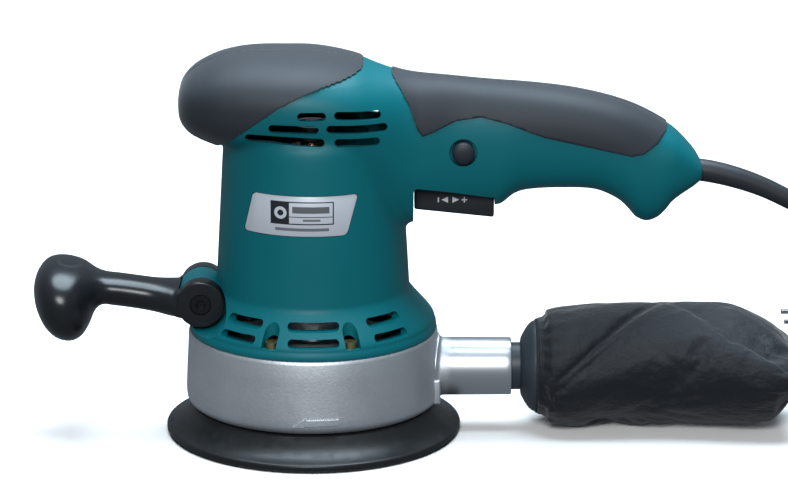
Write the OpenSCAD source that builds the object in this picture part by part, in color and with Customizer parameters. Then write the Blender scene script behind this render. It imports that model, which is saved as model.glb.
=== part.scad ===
// Random orbital sander with a barrel motor body, a rear handle, a front palm handle,
// a cast base with a dust nozzle, a dust bag and a mains lead.
// Millimetres. +Z is up, +X points to the rear, -Y is the tool's left side.
// The origin is where the motor axis meets the sanding face.

/* [Pad] */
// Diameter of the sanding pad
pad_d = 150; // [125:1:180]
// Height of the pad's upright edge
pad_edge_h = 4; // [3:0.5:8]
// Distance from the motor axis to the pad axis
orbit = 2.5; // [1:0.25:4]
// Diameter of each dust hole in the pad
dust_hole_d = 10; // [6:0.5:12]
// Diameter of the circle that the dust holes lie on
dust_hole_circle = 80; // [70:1:95]
// Number of dust holes
dust_holes = 6; // [4:1:9]

/* [Base] */
// Diameter of the cast skirt at its lower edge
skirt_d = 130; // [122:1:160]
// Height of the skirt's lower edge above the sanding face
skirt_z = 19.5; // [18:0.5:24]
// Height of the casting's upper face
base_top = 53.5; // [50:0.5:66]
// Wall thickness of the casting
cast_wall = 4; // [3:0.5:6]
// Outer diameter of the dust nozzle at its mouth
nozzle_d = 29.4; // [27:0.2:34]
// Distance from the motor axis to the nozzle's mouth
nozzle_reach = 101; // [90:1:125]
// Height of the nozzle's axis
nozzle_z = 32; // [31:0.5:34]

/* [Body] */
// Height of the top of the head above the sanding face
head_top = 197; // [190:1:240]
// Diameter of the motor barrel just above the flare
barrel_d = 98; // [96:1:118]
// Wall thickness of the plastic shells
wall = 3; // [2:0.25:4]
// Width of the head across the tool
head_w = 88; // [80:1:96]
// Width of the rear handle
handle_w = 42; // [38:1:50]
// Distance from the motor axis to the end of the rear handle
handle_reach = 196; // [180:1:236]
// Height that the rubber grips stand proud of the shell
grip_proud = 0.8; // [0.4:0.1:1.2]
// Width of the label on the barrel
label_w = 52; // [40:1:60]
// Height of the label
label_h = 20; // [14:1:24]

/* [Front handle] */
// Distance from the motor axis to the clamp axis
clamp_x = 56.4; // [54:0.2:62]
// Radius of the clamp's round ears
ear_r = 12; // [10:0.5:13]
// Diameter of the clamp bolt
bolt_d = 6; // [5:0.5:8]
// Distance from the clamp axis to the tip of the palm knob
knob_reach = 85; // [75:1:105]

/* [Motor] */
// Outer diameter of the stator's laminations
stator_d = 82; // [70:1:84]
// Outer diameter of the armature's laminations
armature_d = 50; // [40:1:54]
// Height of the lamination stacks
stack_h = 40; // [30:1:46]
// Diameter of the armature shaft between its bearings
shaft_d = 12; // [11:0.5:12]

/* [Dust bag] */
// Length of the fabric bag behind its collar
bag_len = 131; // [100:1:165]
// Diameter of the filled bag
bag_d = 57; // [48:1:58]

/* [Mains lead] */
// Diameter of the lead
cord_d = 8; // [6:0.5:8]
// Distance between the plug's two pins
pin_spacing = 18.6; // [17.6:0.2:19.6]

/* [Hidden] */
$fn = 64;

teal = [0.0, 0.42, 0.43];
rubber_grey = [0.13, 0.14, 0.16];
black = [0.05, 0.05, 0.06];
silver = [0.72, 0.73, 0.74];
steel = [0.6, 0.62, 0.64];
copper = [0.72, 0.42, 0.2];

// Clearances
running_gap = 0.3;
split_gap = 0.1;

// --- Curves and lofts ---------------------------------------------------------------

// Index of the last point of t that lies at or before x
function segment_at(t, x, i = 0) =
  i >= len(t) - 2 || x < t[i + 1][0] ? i : segment_at(t, x, i + 1);

// Slope of a table at its point i
function slope_at(t, i) =
  let (a = max(i - 1, 0), b = min(i + 1, len(t) - 1)) (t[b][1] - t[a][1]) / (t[b][0] - t[a][0]);

// Smooth value of a table of [x, value] points
function curve(t, x) =
  let (
    i = segment_at(t, x),
    w = t[i + 1][0] - t[i][0],
    u = (x - t[i][0]) / w,
    m0 = slope_at(t, i) * w,
    m1 = slope_at(t, i + 1) * w
  )
  t[i][1] * (2 * u ^ 3 - 3 * u ^ 2 + 1) + m0 * (u ^ 3 - 2 * u ^ 2 + u)
  + t[i + 1][1] * (3 * u ^ 2 - 2 * u ^ 3) + m1 * (u ^ 3 - u ^ 2);

// One signed step of a superellipse
function super(c, n) = sign(c) * abs(c) ^ (2 / n);

// Closed skin over rings of equal length, each a list of 3-D points
module skin(rings) {
  n = len(rings[0]);
  last = len(rings) - 1;
  polyhedron(
    points = [for (ring = rings) each ring],
    faces = [
      [for (i = [0:n - 1]) i],
      [for (i = [0:n - 1]) last * n + n - 1 - i],
      for (k = [0:last - 1], i = [0:n - 1])
        let (a = k * n + i, b = k * n + (i + 1) % n)
          each [[a, b + n, b], [a, a + n, b + n]]
    ]
  );
}

// --- Outline of the head and rear handle ----------------------------------------------

// Places behind grip_start stretch with the handle's reach
grip_start = 100;
tail_x = 196;
function reach(x) =
  x < grip_start ? x : grip_start + (x - grip_start) * (handle_reach - grip_start) / (tail_x - grip_start);

// Depth of the upper outline below the top of the head
top_line = [
  [-66.2, 24], [-65.6, 19.5], [-64.1, 15.5], [-61, 11.5], [-55.9, 7.5], [-47.4, 3.6], [-38, 1.2],
  [-28, 0.1], [-14, 0], [2, 0.4], [21, 3.8], [33, 7.8], [48.5, 11.7], [70, 13.8], [87, 15.5],
  [110, 17.4], [130, 19.9], [148, 23.8], [161, 28], [170, 32.2], [177, 36.3], [182.5, 40.3],
  [187, 44.6], [190.5, 48.5], [193.5, 52.5], [tail_x, 57]
];
// Depth of the lower outline below the top of the head
low_line = [
  [-66.2, 27], [-65.6, 31.5], [-63.4, 35.8], [-59, 39.8], [-49.4, 44], [-38, 47], [0, 50],
  [24, 58], [36, 74], [44, 86], [50, 87.5], [60, 85], [92, 78.6], [95.5, 77.6], [102, 72.4],
  [110, 70.2], [127, 69.4], [141, 70], [148.5, 72.4], [155.5, 76.5], [159.5, 80.6], [163, 84.6],
  [168.5, 86.8], [174.2, 84.8], [178.2, 80.8], [181.2, 76.8], [186.7, 72.4], [192.5, 68.4],
  [tail_x, 65]
];
// Share of the head's half width
head_share = [
  [-66.2, 0.12], [-65.6, 0.32], [-64.1, 0.48], [-61, 0.62], [-55.9, 0.74], [-47.4, 0.85],
  [-38, 0.92], [-28, 0.965], [-14, 0.995], [0, 1], [14, 0.97], [24, 0.91], [33, 0.81], [41, 0.69],
  [48.5, 0.58], [58, 0.46], [70, 0.36], [86, 0.3], [tail_x, 0.3]
];
// Share of the handle's half width
handle_share = [
  [-66.2, 0], [24, 0], [70, 0.62], [86, 0.9], [96, 1], [160, 1], [170, 0.97], [177, 0.93],
  [182.5, 0.87], [187, 0.79], [190.5, 0.72], [193.5, 0.64], [tail_x, 0.56]
];

function form_top(x) = head_top - curve(top_line, x);
function form_low(x) = head_top - curve(low_line, x);
function form_half(x) =
  max(curve(head_share, x) * head_w / 2 * (x > 58 ? max(0, 1 - (x - 58) / 30) : 1),
      x > 24 ? curve(handle_share, x) * handle_w / 2 : 0,
      x > 40 && x < 96 ? handle_w / 2 * (1 + 0.3 * max(0, (70 - x) / 30)) : 0);

stations = [
  -66.2, -65.6, -64.1, -61, -56, -48, -38, -26, -12, 2, 14, 24, 33, 41, 49, 58, 68, 80, 92, 96,
  102, 110, 122, 134, 144, 152, 158, 162, 168.5, 175, 180, 185, 190, 194, tail_x
];
// Fewer stations do for faces that stay inside the shells
inner_stations = [
  -66.2, -64.1, -58, -48, -30, -12, 6, 20, 33, 49, 66, 92, 102, 122, 144, 156, 168.5, 178, 186, tail_x
];
form_sides = 20;
coarse_sides = 14;
corner = 2.5;

// Cross-section of the form at x, grown outwards by g
function form_ring(x, g, sides = form_sides) =
  let (
    mid = (form_top(x) + form_low(x)) / 2,
    rise = max((form_top(x) - form_low(x)) / 2 + g, 0.6),
    half = max(form_half(x) + g, 0.6),
    nose = x < -48 ? g * (-48 - x) / 18.2 : 0,
    end = x > 180 ? g * (x - 180) / 16 : 0
  )
  [for (i = [0:sides - 1])
    let (a = (i + 0.5) * 360 / sides)
      [reach(x) - nose + end, half * super(cos(a), corner), mid + rise * super(sin(a), corner)]];

module form(g = 0) {
  skin([for (x = stations) form_ring(x, g)]);
}

module inner_form(g) {
  skin([for (x = inner_stations) form_ring(x, g, coarse_sides)]);
}

// --- Barrel and flare -------------------------------------------------------------------

lip_h = 4;
flare_top = base_top + 23;
barrel_top = head_top - 41;
barrel_r = barrel_d / 2;
barrel_top_r = barrel_r - 4.4;
lip_r = skirt_d / 2 - 2.2;

// Outer radius of the barrel at height z
function barrel_at(z) =
  barrel_r - (barrel_r - barrel_top_r) * (z - flare_top) / (barrel_top - flare_top);

module barrel_outline(g = 0) {
  polygon([
    [0, base_top], [lip_r + g, base_top], [lip_r - 0.8 + g, base_top + lip_h + g],
    [barrel_r + 7.6 + g, base_top + 10 + g], [barrel_r + 3.4 + g, base_top + 16 + g],
    [barrel_r + 0.9 + g, base_top + 20 + g], [barrel_r + g, flare_top + g],
    [barrel_top_r + g, barrel_top], [barrel_top_r - 4 + g, barrel_top + 4 + g],
    [0, barrel_top + 4 + g]
  ]);
}

module barrel(g = 0) {
  rotate_extrude($fn = 96) barrel_outline(g);
}

// --- Helpers for the housings -------------------------------------------------------------

module along_y(r, y0, y1, fn = 48) {
  translate([0, y0, 0]) rotate([-90, 0, 0]) cylinder(r = r, h = y1 - y0, $fn = fn);
}

// Slot with round ends, cut along Y
module side_slot(x0, x1, z, h, y0, y1) {
  translate([x0 + h / 2, 0, z]) along_y(h / 2, y0, y1, 24);
  translate([x1 - h / 2, 0, z]) along_y(h / 2, y0, y1, 24);
  translate([x0 + h / 2, y0, z - h / 2]) cube([x1 - x0 - h, y1 - y0, h]);
}

// The head's side vents: start, end and row of each slot
vent_h = 3.9;
vent_pitch = 6.45;
vent_z = head_top - 23.7;
vents = [
  [-6.4, 7.8, 0], [11.7, 34.8, 0], [-20.7, 4.2, 1], [7.9, 38, 1], [-32.4, 7.1, 2], [11.8, 34.3, 2]
];

// Flare slots: middle angles from the side, half width in degrees, and rows
flare_slot_angles = [-38, 1.3, 42];
flare_slot_half = 12.5;
flare_rows = [base_top + 8.2, base_top + 15.2];
flare_slot_h = 4;
scallop_angles = [-20, 20];
scallop_r = 4.2;
scallop_at = lip_r - 6;
base_screw_seat = base_top + 5;

module flare_slots(side) {
  for (a = flare_slot_angles, z = flare_rows)
    rotate([0, 0, side * 90 + a - flare_slot_half])
      rotate_extrude(angle = 2 * flare_slot_half, $fn = 96)
        translate([barrel_r - 12, z - flare_slot_h / 2]) square([30, flare_slot_h]);
}

module at_scallops(side) {
  for (a = scallop_angles) rotate([0, 0, side * 90 + a]) translate([scallop_at, 0, 0]) children();
}

clamp_z = base_top + 16.5;
lug_half = 10;
pocket_r = ear_r + 1.6;
ear_t = 9;

module at_clamp() {
  translate([-clamp_x, 0, clamp_z]) children();
}

// Fasteners that close the shells: place along the handle and depth below the top of the head
boss_places = [[-48, 24], [32, 21], [66, 24], [116, 36], [140, 46], [172, 74]];
boss_r = 4;
screw_r = 1.6;
head_r = 3.4;
screw_head_y = 15;
screw_tip_y = -10;

module at_bosses() {
  for (p = boss_places) translate([reach(p[0]), 0, head_top - p[1]]) children();
}

// Upper bearing, in a ring held by two ribs
upper_bearing_z = barrel_top - 3;
upper_bearing_r = 11;
upper_bearing_w = 7;
seat_t = 4;

module bearing_seat() {
  translate([0, 0, upper_bearing_z - 2])
    difference() {
      union() {
        cylinder(r = upper_bearing_r + seat_t, h = upper_bearing_w + 4);
        for (x = [-1, 1])
          translate([x * 8 - 1.2, -barrel_top_r + 2, 0]) cube([2.4, 2 * barrel_top_r - 4, 6]);
      }
      translate([0, 0, 2]) cylinder(r = upper_bearing_r, h = upper_bearing_w + 3);
      translate([0, 0, -1]) cylinder(r = 7, h = 8);
    }
}

// Trigger bay under the handle
bay_x0 = 51;
bay_x1 = 92;
bay_z = head_top - 69.5;
trigger_half = 10;

pivot_x = bay_x0 + 3.4;
pivot_z = bay_z - 2.6;
pivot_r = 1.5;

module trigger_bay() {
  translate([bay_x0, -60, bay_z - 40]) cube([bay_x1 - bay_x0, 120, 40]);
}

// Cheeks that hang from the floor of the bay on both sides of the trigger and carry its pivot
module pivot_cheeks() {
  difference() {
    for (y = [-trigger_half - 2.6, trigger_half + 0.6])
      translate([bay_x0 - 0.5, y, pivot_z - 3.4]) cube([pivot_x - bay_x0 + 3.9, 2, 7]);
    translate([pivot_x, 0, pivot_z]) along_y(pivot_r + 0.05, -trigger_half - 5, trigger_half + 5, 32);
  }
}

module bay_floor() {
  intersection() {
    inner_form(-0.4);
    difference() {
      translate([bay_x0 - 1.5, -60, bay_z]) cube([bay_x1 - bay_x0 + 3, 120, 2.4]);
      translate([bay_x0 + 0.6, -trigger_half - 1, bay_z - 1])
        cube([bay_x1 - bay_x0 - 1.2, 2 * trigger_half + 2, 5]);
    }
  }
}

// Lock-on button on the left side
button_x = 75.8;
button_z = head_top - 47.3;
button_r = 5.6;
button_cup_r = 7;
button_face_y = -handle_w / 2 + 1.2;

// Label on the barrel: lower and upper edges, and its slant
label_mid = head_top - 73.5;
label_angle = -7.8;
label_slant = 5;
label_t = 0.6;
label_sink = 0.9;

// Parallelogram with round corners, in the XZ plane and unrolled about the barrel
module label_outline(g) {
  r = 2;
  w = label_w / 2 + g - r;
  h = label_h / 2 + g - r;
  k = label_slant / label_h;
  polygon([
    for (c = [[1, 1, 0], [-1, 1, 90], [-1, -1, 180], [1, -1, 270]], a = [0:15:90])
      let (z = c[1] * h + r * sin(c[2] + a), x = c[0] * w + r * cos(c[2] + a)) [x + k * z, z]
  ]);
}

module label_shell(r_out, r_in, g) {
  intersection() {
    difference() {
      translate([0, 0, label_mid - 20])
        cylinder(r1 = r_out(label_mid - 20), r2 = r_out(label_mid + 20), h = 40, $fn = 96);
      translate([0, 0, label_mid - 20])
        cylinder(r1 = r_in(label_mid - 20), r2 = r_in(label_mid + 20), h = 40, $fn = 96);
    }
    rotate([0, 0, label_angle]) translate([0, 0, label_mid])
      rotate([90, 0, 0]) linear_extrude(height = 80) label_outline(g);
  }
}

// --- Shells ---------------------------------------------------------------------------------

// Side faces of the rubber grips, drawn along the handle; z is a depth below the head's top
front_grip_edge = [
  [-47.5, 43.4], [-36, 34], [-26, 26.6], [-16, 19.4], [-5, 14], [6.5, 10], [16, 8], [26, 5.4]
];
rear_grip_edge = [
  [38.5, 4], [39.5, 9], [44, 15], [49, 23.8], [52.8, 35], [55.4, 38.4], [61, 36.6], [72, 31.4],
  [84.6, 29.6], [98, 33], [116, 39.6], [142, 45.4], [160, 49.4], [166, 48.4], [173, 43.4],
  [179, 36.4], [184, 30]
];

module in_profile(points) {
  rotate([90, 0, 0]) linear_extrude(height = 140, center = true)
    polygon([for (p = points) [reach(p[0]), head_top - p[1]]]);
}

module front_grip_zone() {
  in_profile(concat([[-90, 60], [-52, 60]], front_grip_edge, [[30, -20], [-90, -20]]));
}

module rear_grip_zone() {
  in_profile(concat([[37, -20]], rear_grip_edge, [[200, -20]]));
}

grip_t = 2;

module half_space(side, gap) {
  translate([-200, side > 0 ? gap : -120 - gap, -10]) cube([520, 120, 320]);
}

module clamp_lug(side) {
  at_clamp() along_y(ear_r, side > 0 ? 0 : -lug_half, side > 0 ? lug_half : 0);
  translate([-clamp_x, side > 0 ? 0 : -lug_half, clamp_z - ear_r])
    cube([clamp_x - barrel_r + 3, lug_half, 2 * ear_r - 3]);
}

module housing_cavity() {
  inner_form(-wall);
  rotate_extrude($fn = 96)
    polygon([
      [0, base_top - 1], [lip_r - 12, base_top - 1], [lip_r - 12, base_top + lip_h],
      [lip_r - 3.6, base_top + lip_h], [barrel_r + 4, base_top + 10],
      [barrel_r - wall + 0.6, base_top + 17], [barrel_r - wall, flare_top],
      [barrel_top_r - wall, barrel_top], [barrel_top_r - wall - 6, barrel_top + 9],
      [0, barrel_top + 9]
    ]);
}

module shell(side) {
  pocket_y = side > 0 ? [lug_half, 60] : [-60, -lug_half];
  intersection() {
    half_space(side, split_gap / 2);
    difference() {
      union() {
        difference() {
          union() {
            form();
            barrel();
          }
          housing_cavity();
        }
        intersection() {
          barrel();
          union() {
            at_scallops(side) translate([0, 0, base_top]) cylinder(r = scallop_r + 2.4, h = 20, $fn = 32);
            at_clamp() along_y(pocket_r + 2.6, pocket_y[0], pocket_y[1]);
          }
        }
        intersection() {
          inner_form(-0.6);
          union() {
            at_bosses() along_y(boss_r, side > 0 ? 0 : -60, side > 0 ? 60 : 0, 32);
            if (side < 0)
              translate([button_x, 0, button_z]) along_y(button_cup_r + 2, -60, button_face_y + 7);
          }
        }
        bearing_seat();
        bay_floor();
        pivot_cheeks();
        clamp_lug(side);
      }
      difference() {
        trigger_bay();
        pivot_cheeks();
      }
      difference() {
        union() {
          front_grip_zone();
          rear_grip_zone();
        }
        form(-grip_t);
      }
      for (v = vents)
        side_slot(v[0], v[1], vent_z - v[2] * vent_pitch, vent_h, side > 0 ? 20 : -60,
          side > 0 ? 60 : -20);
      flare_slots(side);
      at_scallops(side) translate([0, 0, base_screw_seat]) cylinder(r = scallop_r, h = 30, $fn = 32);
      at_scallops(side) translate([0, 0, base_top - 1]) cylinder(r = 2.7, h = 10, $fn = 32);
      at_clamp() along_y(pocket_r, pocket_y[0], pocket_y[1]);
      at_clamp() along_y(bolt_d / 2 + 0.05, -30, 30);
      if (side > 0) at_bosses() along_y(screw_r + 0.3, -1, 40, 24);
      else at_bosses() along_y(screw_r - 0.1, screw_tip_y - 1, 1, 24);
      if (side > 0) at_bosses() along_y(head_r + 0.3, screw_head_y, 60, 32);
      if (side < 0) {
        translate([button_x, 0, button_z]) along_y(button_cup_r, -40, button_face_y + 2, 48);
        translate([button_x, 0, button_z]) along_y(button_r - 1.6 + running_gap, -40, 10, 48);
        label_shell(function(z) barrel_at(z) + 2, function(z) barrel_at(z) - label_sink, 0.4);
      }
      cord_way();
    }
  }
}

module left_housing() color(teal) shell(-1);
module right_housing() color(teal) shell(1);

module grip(side, zone) {
  color(rubber_grey) intersection() {
    half_space(side, split_gap / 2);
    difference() {
      form(grip_proud);
      form(-grip_t);
      if (side > 0) at_bosses() along_y(head_r + 0.3, screw_head_y, 60, 32);
      if (side > 0) at_bosses() along_y(screw_r + 0.3, 5, screw_head_y + 1, 24);
    }
    if (zone == 0) front_grip_zone();
    else rear_grip_zone();
  }
}

module left_front_grip() grip(-1, 0);
module right_front_grip() grip(1, 0);
module left_rear_grip() grip(-1, 1);
module right_rear_grip() grip(1, 1);

module name_plate() {
  color(silver)
    label_shell(
      function(z) barrel_at(z) - label_sink + label_t, function(z) barrel_at(z) - label_sink, 0
    );
}

module housing_screws() {
  color(steel) at_bosses() difference() {
    union() {
      along_y(screw_r - 0.1, screw_tip_y, screw_head_y, 24);
      along_y(head_r, screw_head_y, screw_head_y + 2.4, 32);
    }
    translate([-2.2, screw_head_y + 1.2, -0.45]) cube([4.4, 3, 0.9]);
    translate([-0.45, screw_head_y + 1.2, -2.2]) cube([0.9, 3, 4.4]);
  }
}

// --- Base casting and the plate that holds the lower bearing ---------------------------------

skirt_r = skirt_d / 2;
nozzle_r = nozzle_d / 2;
nozzle_bore = nozzle_r - 2.3;
plate_r = lip_r - 16.5;
boss_hole_r = 22;

module base_casting() {
  color(silver) difference() {
    union() {
      rotate_extrude($fn = 96)
        polygon([
          [skirt_r - cast_wall, skirt_z], [skirt_r - 1, skirt_z], [skirt_r, skirt_z + 1],
          [skirt_r - 1.4, base_top - 1.2], [skirt_r - 2.4, base_top], [boss_hole_r, base_top],
          [boss_hole_r, base_top - cast_wall], [skirt_r - cast_wall - 9, base_top - cast_wall],
          [skirt_r - cast_wall - 1, base_top - cast_wall - 8]
        ]);
      difference() {
        translate([skirt_r - 8, 0, nozzle_z]) rotate([0, 90, 0])
          cylinder(r1 = nozzle_r + 2, r2 = nozzle_r, h = nozzle_reach - skirt_r + 8);
        cylinder(r = skirt_r - cast_wall, h = base_top - cast_wall, $fn = 96);
      }
      translate([skirt_r - 6, -nozzle_r - 3, nozzle_z - 4]) cube([4.6, 2 * nozzle_r + 6, nozzle_r + 6]);
    }
    translate([0, 0, nozzle_z]) rotate([0, 90, 0]) cylinder(r = nozzle_bore, h = nozzle_reach + 10);
    for (side = [-1, 1])
      at_scallops(side) translate([0, 0, base_top - 9]) cylinder(r = 2.1, h = 20, $fn = 32);
    for (a = [45:90:315])
      rotate([0, 0, a]) translate([plate_r - 5, 0, base_top - cast_wall - 1])
        cylinder(r = 1.7, h = 10, $fn = 24);
  }
}

module base_screws() {
  color(steel) for (side = [-1, 1]) at_scallops(side) difference() {
    union() {
      translate([0, 0, base_top - 8]) cylinder(r = 2.1, h = base_screw_seat - base_top + 8, $fn = 32);
      translate([0, 0, base_screw_seat]) cylinder(r = 3.6, h = 3, $fn = 32);
    }
    translate([0, 0, base_screw_seat + 1.2]) cylinder(r = 1.6, h = 4, $fn = 6);
  }
}

lower_bearing_r = 16;
lower_bearing_w = 10;
plate_t = 4;
lower_bearing_z = base_top + 2.5;

module bearing_plate() {
  color(silver) difference() {
    union() {
      translate([0, 0, base_top]) cylinder(r = plate_r, h = plate_t, $fn = 96);
      translate([0, 0, base_top - cast_wall + 0.5])
        cylinder(r = boss_hole_r - running_gap, h = cast_wall + lower_bearing_w + 3);
    }
    translate([0, 0, lower_bearing_z]) cylinder(r = lower_bearing_r, h = 30);
    cylinder(r = 10, h = 100);
    for (a = [45:90:315])
      rotate([0, 0, a]) translate([plate_r - 5, 0, base_top - 1]) cylinder(r = 1.9, h = 10, $fn = 24);
    for (a = [0:90:270])
      rotate([0, 0, a]) translate([34, 0, base_top - 1]) cylinder(r = 7, h = 10, $fn = 32);
  }
}

module plate_screws() {
  color(steel) for (a = [45:90:315])
    rotate([0, 0, a]) translate([plate_r - 5, 0, 0]) difference() {
      union() {
        translate([0, 0, base_top - cast_wall]) cylinder(r = 1.7, h = cast_wall + plate_t, $fn = 24);
        translate([0, 0, base_top + plate_t]) cylinder(r = 3.2, h = 2.2, $fn = 24);
      }
      translate([-2.2, -0.4, base_top + plate_t + 1]) cube([4.4, 0.8, 3]);
    }
}

// --- Ball bearings --------------------------------------------------------------------------

ball_gap = 0.05;
function ball_r(outer, inner) = (outer - inner) * 0.27;

module bearing_ring(r0, r1, w, track, r_ball) {
  rotate_extrude($fn = 72) difference() {
    translate([r0, 0]) square([r1 - r0, w]);
    translate([track, w / 2]) circle(r = r_ball + ball_gap, $fn = 32);
  }
}

module outer_ring(outer, inner, w) {
  b = ball_r(outer, inner);
  track = (outer + inner) / 2;
  color(steel) bearing_ring(track + b * 0.6, outer, w, track, b);
}

module inner_ring(outer, inner, w) {
  b = ball_r(outer, inner);
  track = (outer + inner) / 2;
  color(steel) bearing_ring(inner, track - b * 0.6, w, track, b);
}

module ball_set(outer, inner, w, count) {
  b = ball_r(outer, inner);
  color(steel) for (i = [0:count - 1])
    rotate([0, 0, i * 360 / count]) translate([(outer + inner) / 2, 0, w / 2]) sphere(r = b, $fn = 32);
}

shaft_r = shaft_d / 2;
upper_journal_r = 4;

module lower_bearing_outer() translate([0, 0, lower_bearing_z])
  outer_ring(lower_bearing_r, shaft_r, lower_bearing_w);
module lower_bearing_inner() translate([0, 0, lower_bearing_z])
  inner_ring(lower_bearing_r, shaft_r, lower_bearing_w);
module lower_bearing_balls() translate([0, 0, lower_bearing_z])
  ball_set(lower_bearing_r, shaft_r, lower_bearing_w, 7);
module upper_bearing_outer() translate([0, 0, upper_bearing_z])
  outer_ring(upper_bearing_r, upper_journal_r, upper_bearing_w);
module upper_bearing_inner() translate([0, 0, upper_bearing_z])
  inner_ring(upper_bearing_r, upper_journal_r, upper_bearing_w);
module upper_bearing_balls() translate([0, 0, upper_bearing_z])
  ball_set(upper_bearing_r, upper_journal_r, upper_bearing_w, 7);

// --- Motor -----------------------------------------------------------------------------------

fan_z = lower_bearing_z + lower_bearing_w + 2.5;
fan_h = 8;
coil_end_h = 7;
comm_h = 12;
stack_z = fan_z + fan_h + 2 + coil_end_h;
comm_z = stack_z + stack_h + coil_end_h + 3;
armature_r = armature_d / 2;
air_gap = 0.6;
stator_r = stator_d / 2;
pole_turn = 62;

module wedge(r0, r1, a0, a1, h) {
  rotate([0, 0, a0]) rotate_extrude(angle = a1 - a0, $fn = 72) translate([r0, 0]) square([r1 - r0, h]);
}

module stator_core() {
  color([0.35, 0.35, 0.37]) translate([0, 0, stack_z]) difference() {
    cylinder(r = stator_r, h = stack_h, $fn = 72);
    translate([0, 0, -1]) cylinder(r = armature_r + air_gap, h = stack_h + 2, $fn = 72);
    for (pole = [0, 180], s = [-1, 1])
      translate([0, 0, -1])
        wedge(armature_r + 3.6, stator_r - 6, pole + s * pole_turn - 9, pole + s * pole_turn + 9,
          stack_h + 2);
  }
}

module stator_coils() {
  color(copper) for (pole = [0, 180]) {
    for (s = [-1, 1])
      translate([0, 0, stack_z - 2])
        wedge(armature_r + 4.8, stator_r - 7.2, pole + s * pole_turn - 7,
          pole + s * pole_turn + 7, stack_h + 4);
    for (z = [stack_z - coil_end_h, stack_z + stack_h + 0.3])
      translate([0, 0, z])
        wedge(armature_r + 4.2, stator_r - 6.6, pole - pole_turn - 8, pole + pole_turn + 8,
          coil_end_h - 0.3);
  }
}

shaft_low = base_top - 13;
shaft_high = upper_bearing_z + upper_bearing_w + 1;
drive_r = 5;

module armature_shaft() {
  color(steel) {
    translate([0, 0, shaft_low]) cylinder(r = drive_r, h = lower_bearing_z - shaft_low - 1);
    translate([0, 0, lower_bearing_z - 1]) cylinder(r = shaft_r, h = upper_bearing_z - lower_bearing_z);
    translate([0, 0, upper_bearing_z - 1])
      cylinder(r = upper_journal_r, h = shaft_high - upper_bearing_z + 1);
  }
}

slot_count = 12;

module armature_core() {
  color([0.4, 0.4, 0.42]) translate([0, 0, stack_z]) difference() {
    cylinder(r = armature_r, h = stack_h, $fn = 72);
    translate([0, 0, -1]) cylinder(r = shaft_r, h = stack_h + 2);
    for (i = [0:slot_count - 1])
      rotate([0, 0, i * 360 / slot_count]) {
        translate([armature_r - 6, 0, -1]) cylinder(r = 2.6, h = stack_h + 2, $fn = 24);
        translate([armature_r - 5, -0.9, -1]) cube([8, 1.8, stack_h + 2]);
      }
  }
}

module armature_coils() {
  color(copper) {
    for (z = [stack_z - coil_end_h + 0.5, stack_z + stack_h])
      translate([0, 0, z]) difference() {
        cylinder(r = armature_r - 2.6, h = coil_end_h - 0.5, $fn = 48);
        translate([0, 0, -1]) cylinder(r = shaft_r, h = coil_end_h + 2);
      }
    for (i = [0:slot_count - 1])
      rotate([0, 0, i * 360 / slot_count]) translate([armature_r - 6, 0, stack_z])
        cylinder(r = 2.4, h = stack_h, $fn = 24);
  }
}

comm_r = 13;

module commutator() {
  color(copper) translate([0, 0, comm_z]) difference() {
    cylinder(r = comm_r, h = comm_h);
    translate([0, 0, -1]) cylinder(r = shaft_r, h = comm_h + 2);
    for (i = [0:2 * slot_count - 1])
      rotate([0, 0, i * 180 / slot_count]) translate([comm_r - 0.8, -0.25, -1])
        cube([3, 0.5, comm_h + 2]);
  }
}

fan_r = armature_r + 11;

module cooling_fan() {
  color([0.15, 0.15, 0.16]) translate([0, 0, fan_z]) difference() {
    union() {
      cylinder(r = fan_r, h = 1.6, $fn = 72);
      cylinder(r = shaft_r + 4, h = fan_h);
      for (i = [0:10])
        rotate([0, 0, i * 360 / 11]) translate([shaft_r + 3, -0.8, 0]) rotate([0, 0, 14])
          cube([fan_r - shaft_r - 5, 1.6, fan_h]);
    }
    translate([0, 0, -1]) cylinder(r = shaft_r, h = fan_h + 2);
  }
}

// The dust fan and the eccentric hub turn inside the casting
dust_fan_r = skirt_r - cast_wall - 11;
dust_fan_z = base_top - cast_wall - 11.5;
hub_collar_r = 12;

module dust_fan() {
  color([0.18, 0.18, 0.2]) difference() {
    union() {
      translate([0, 0, dust_fan_z + 8]) cylinder(r = dust_fan_r, h = 2, $fn = 72);
      translate([0, 0, dust_fan_z]) cylinder(r = hub_collar_r + 3, h = 10);
      for (i = [0:9])
        rotate([0, 0, i * 36]) translate([hub_collar_r + 10, -1, dust_fan_z]) rotate([0, 0, 12])
          cube([dust_fan_r - hub_collar_r - 12, 2, 9]);
    }
    translate([0, 0, dust_fan_z - 1]) cylinder(r = hub_collar_r, h = 12);
  }
}

pad_bearing_r = 17.5;
pad_bearing_bore = 7.5;
pad_bearing_w = 11;
pad_bearing_z = dust_fan_z - 2.5 - pad_bearing_w;
hub_r = pad_bearing_r + 4;
weight_r = 38;

module eccentric_hub() {
  color([0.5, 0.5, 0.52]) difference() {
    union() {
      translate([0, -orbit, pad_bearing_z]) cylinder(r = hub_r, h = pad_bearing_w + 2);
      translate([0, 0, pad_bearing_z + pad_bearing_w]) cylinder(r = hub_collar_r, h = 12.5);
      translate([0, 0, pad_bearing_z + 2]) wedge(hub_r - 4, weight_r, 40, 140, pad_bearing_w - 1);
    }
    translate([0, -orbit, pad_bearing_z - 1]) cylinder(r = pad_bearing_r, h = pad_bearing_w + 1);
    translate([0, -orbit, pad_bearing_z + pad_bearing_w - 1]) cylinder(r = pad_bearing_r - 3, h = 2);
    translate([0, 0, shaft_low]) cylinder(r = drive_r, h = 20);
  }
}

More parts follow.
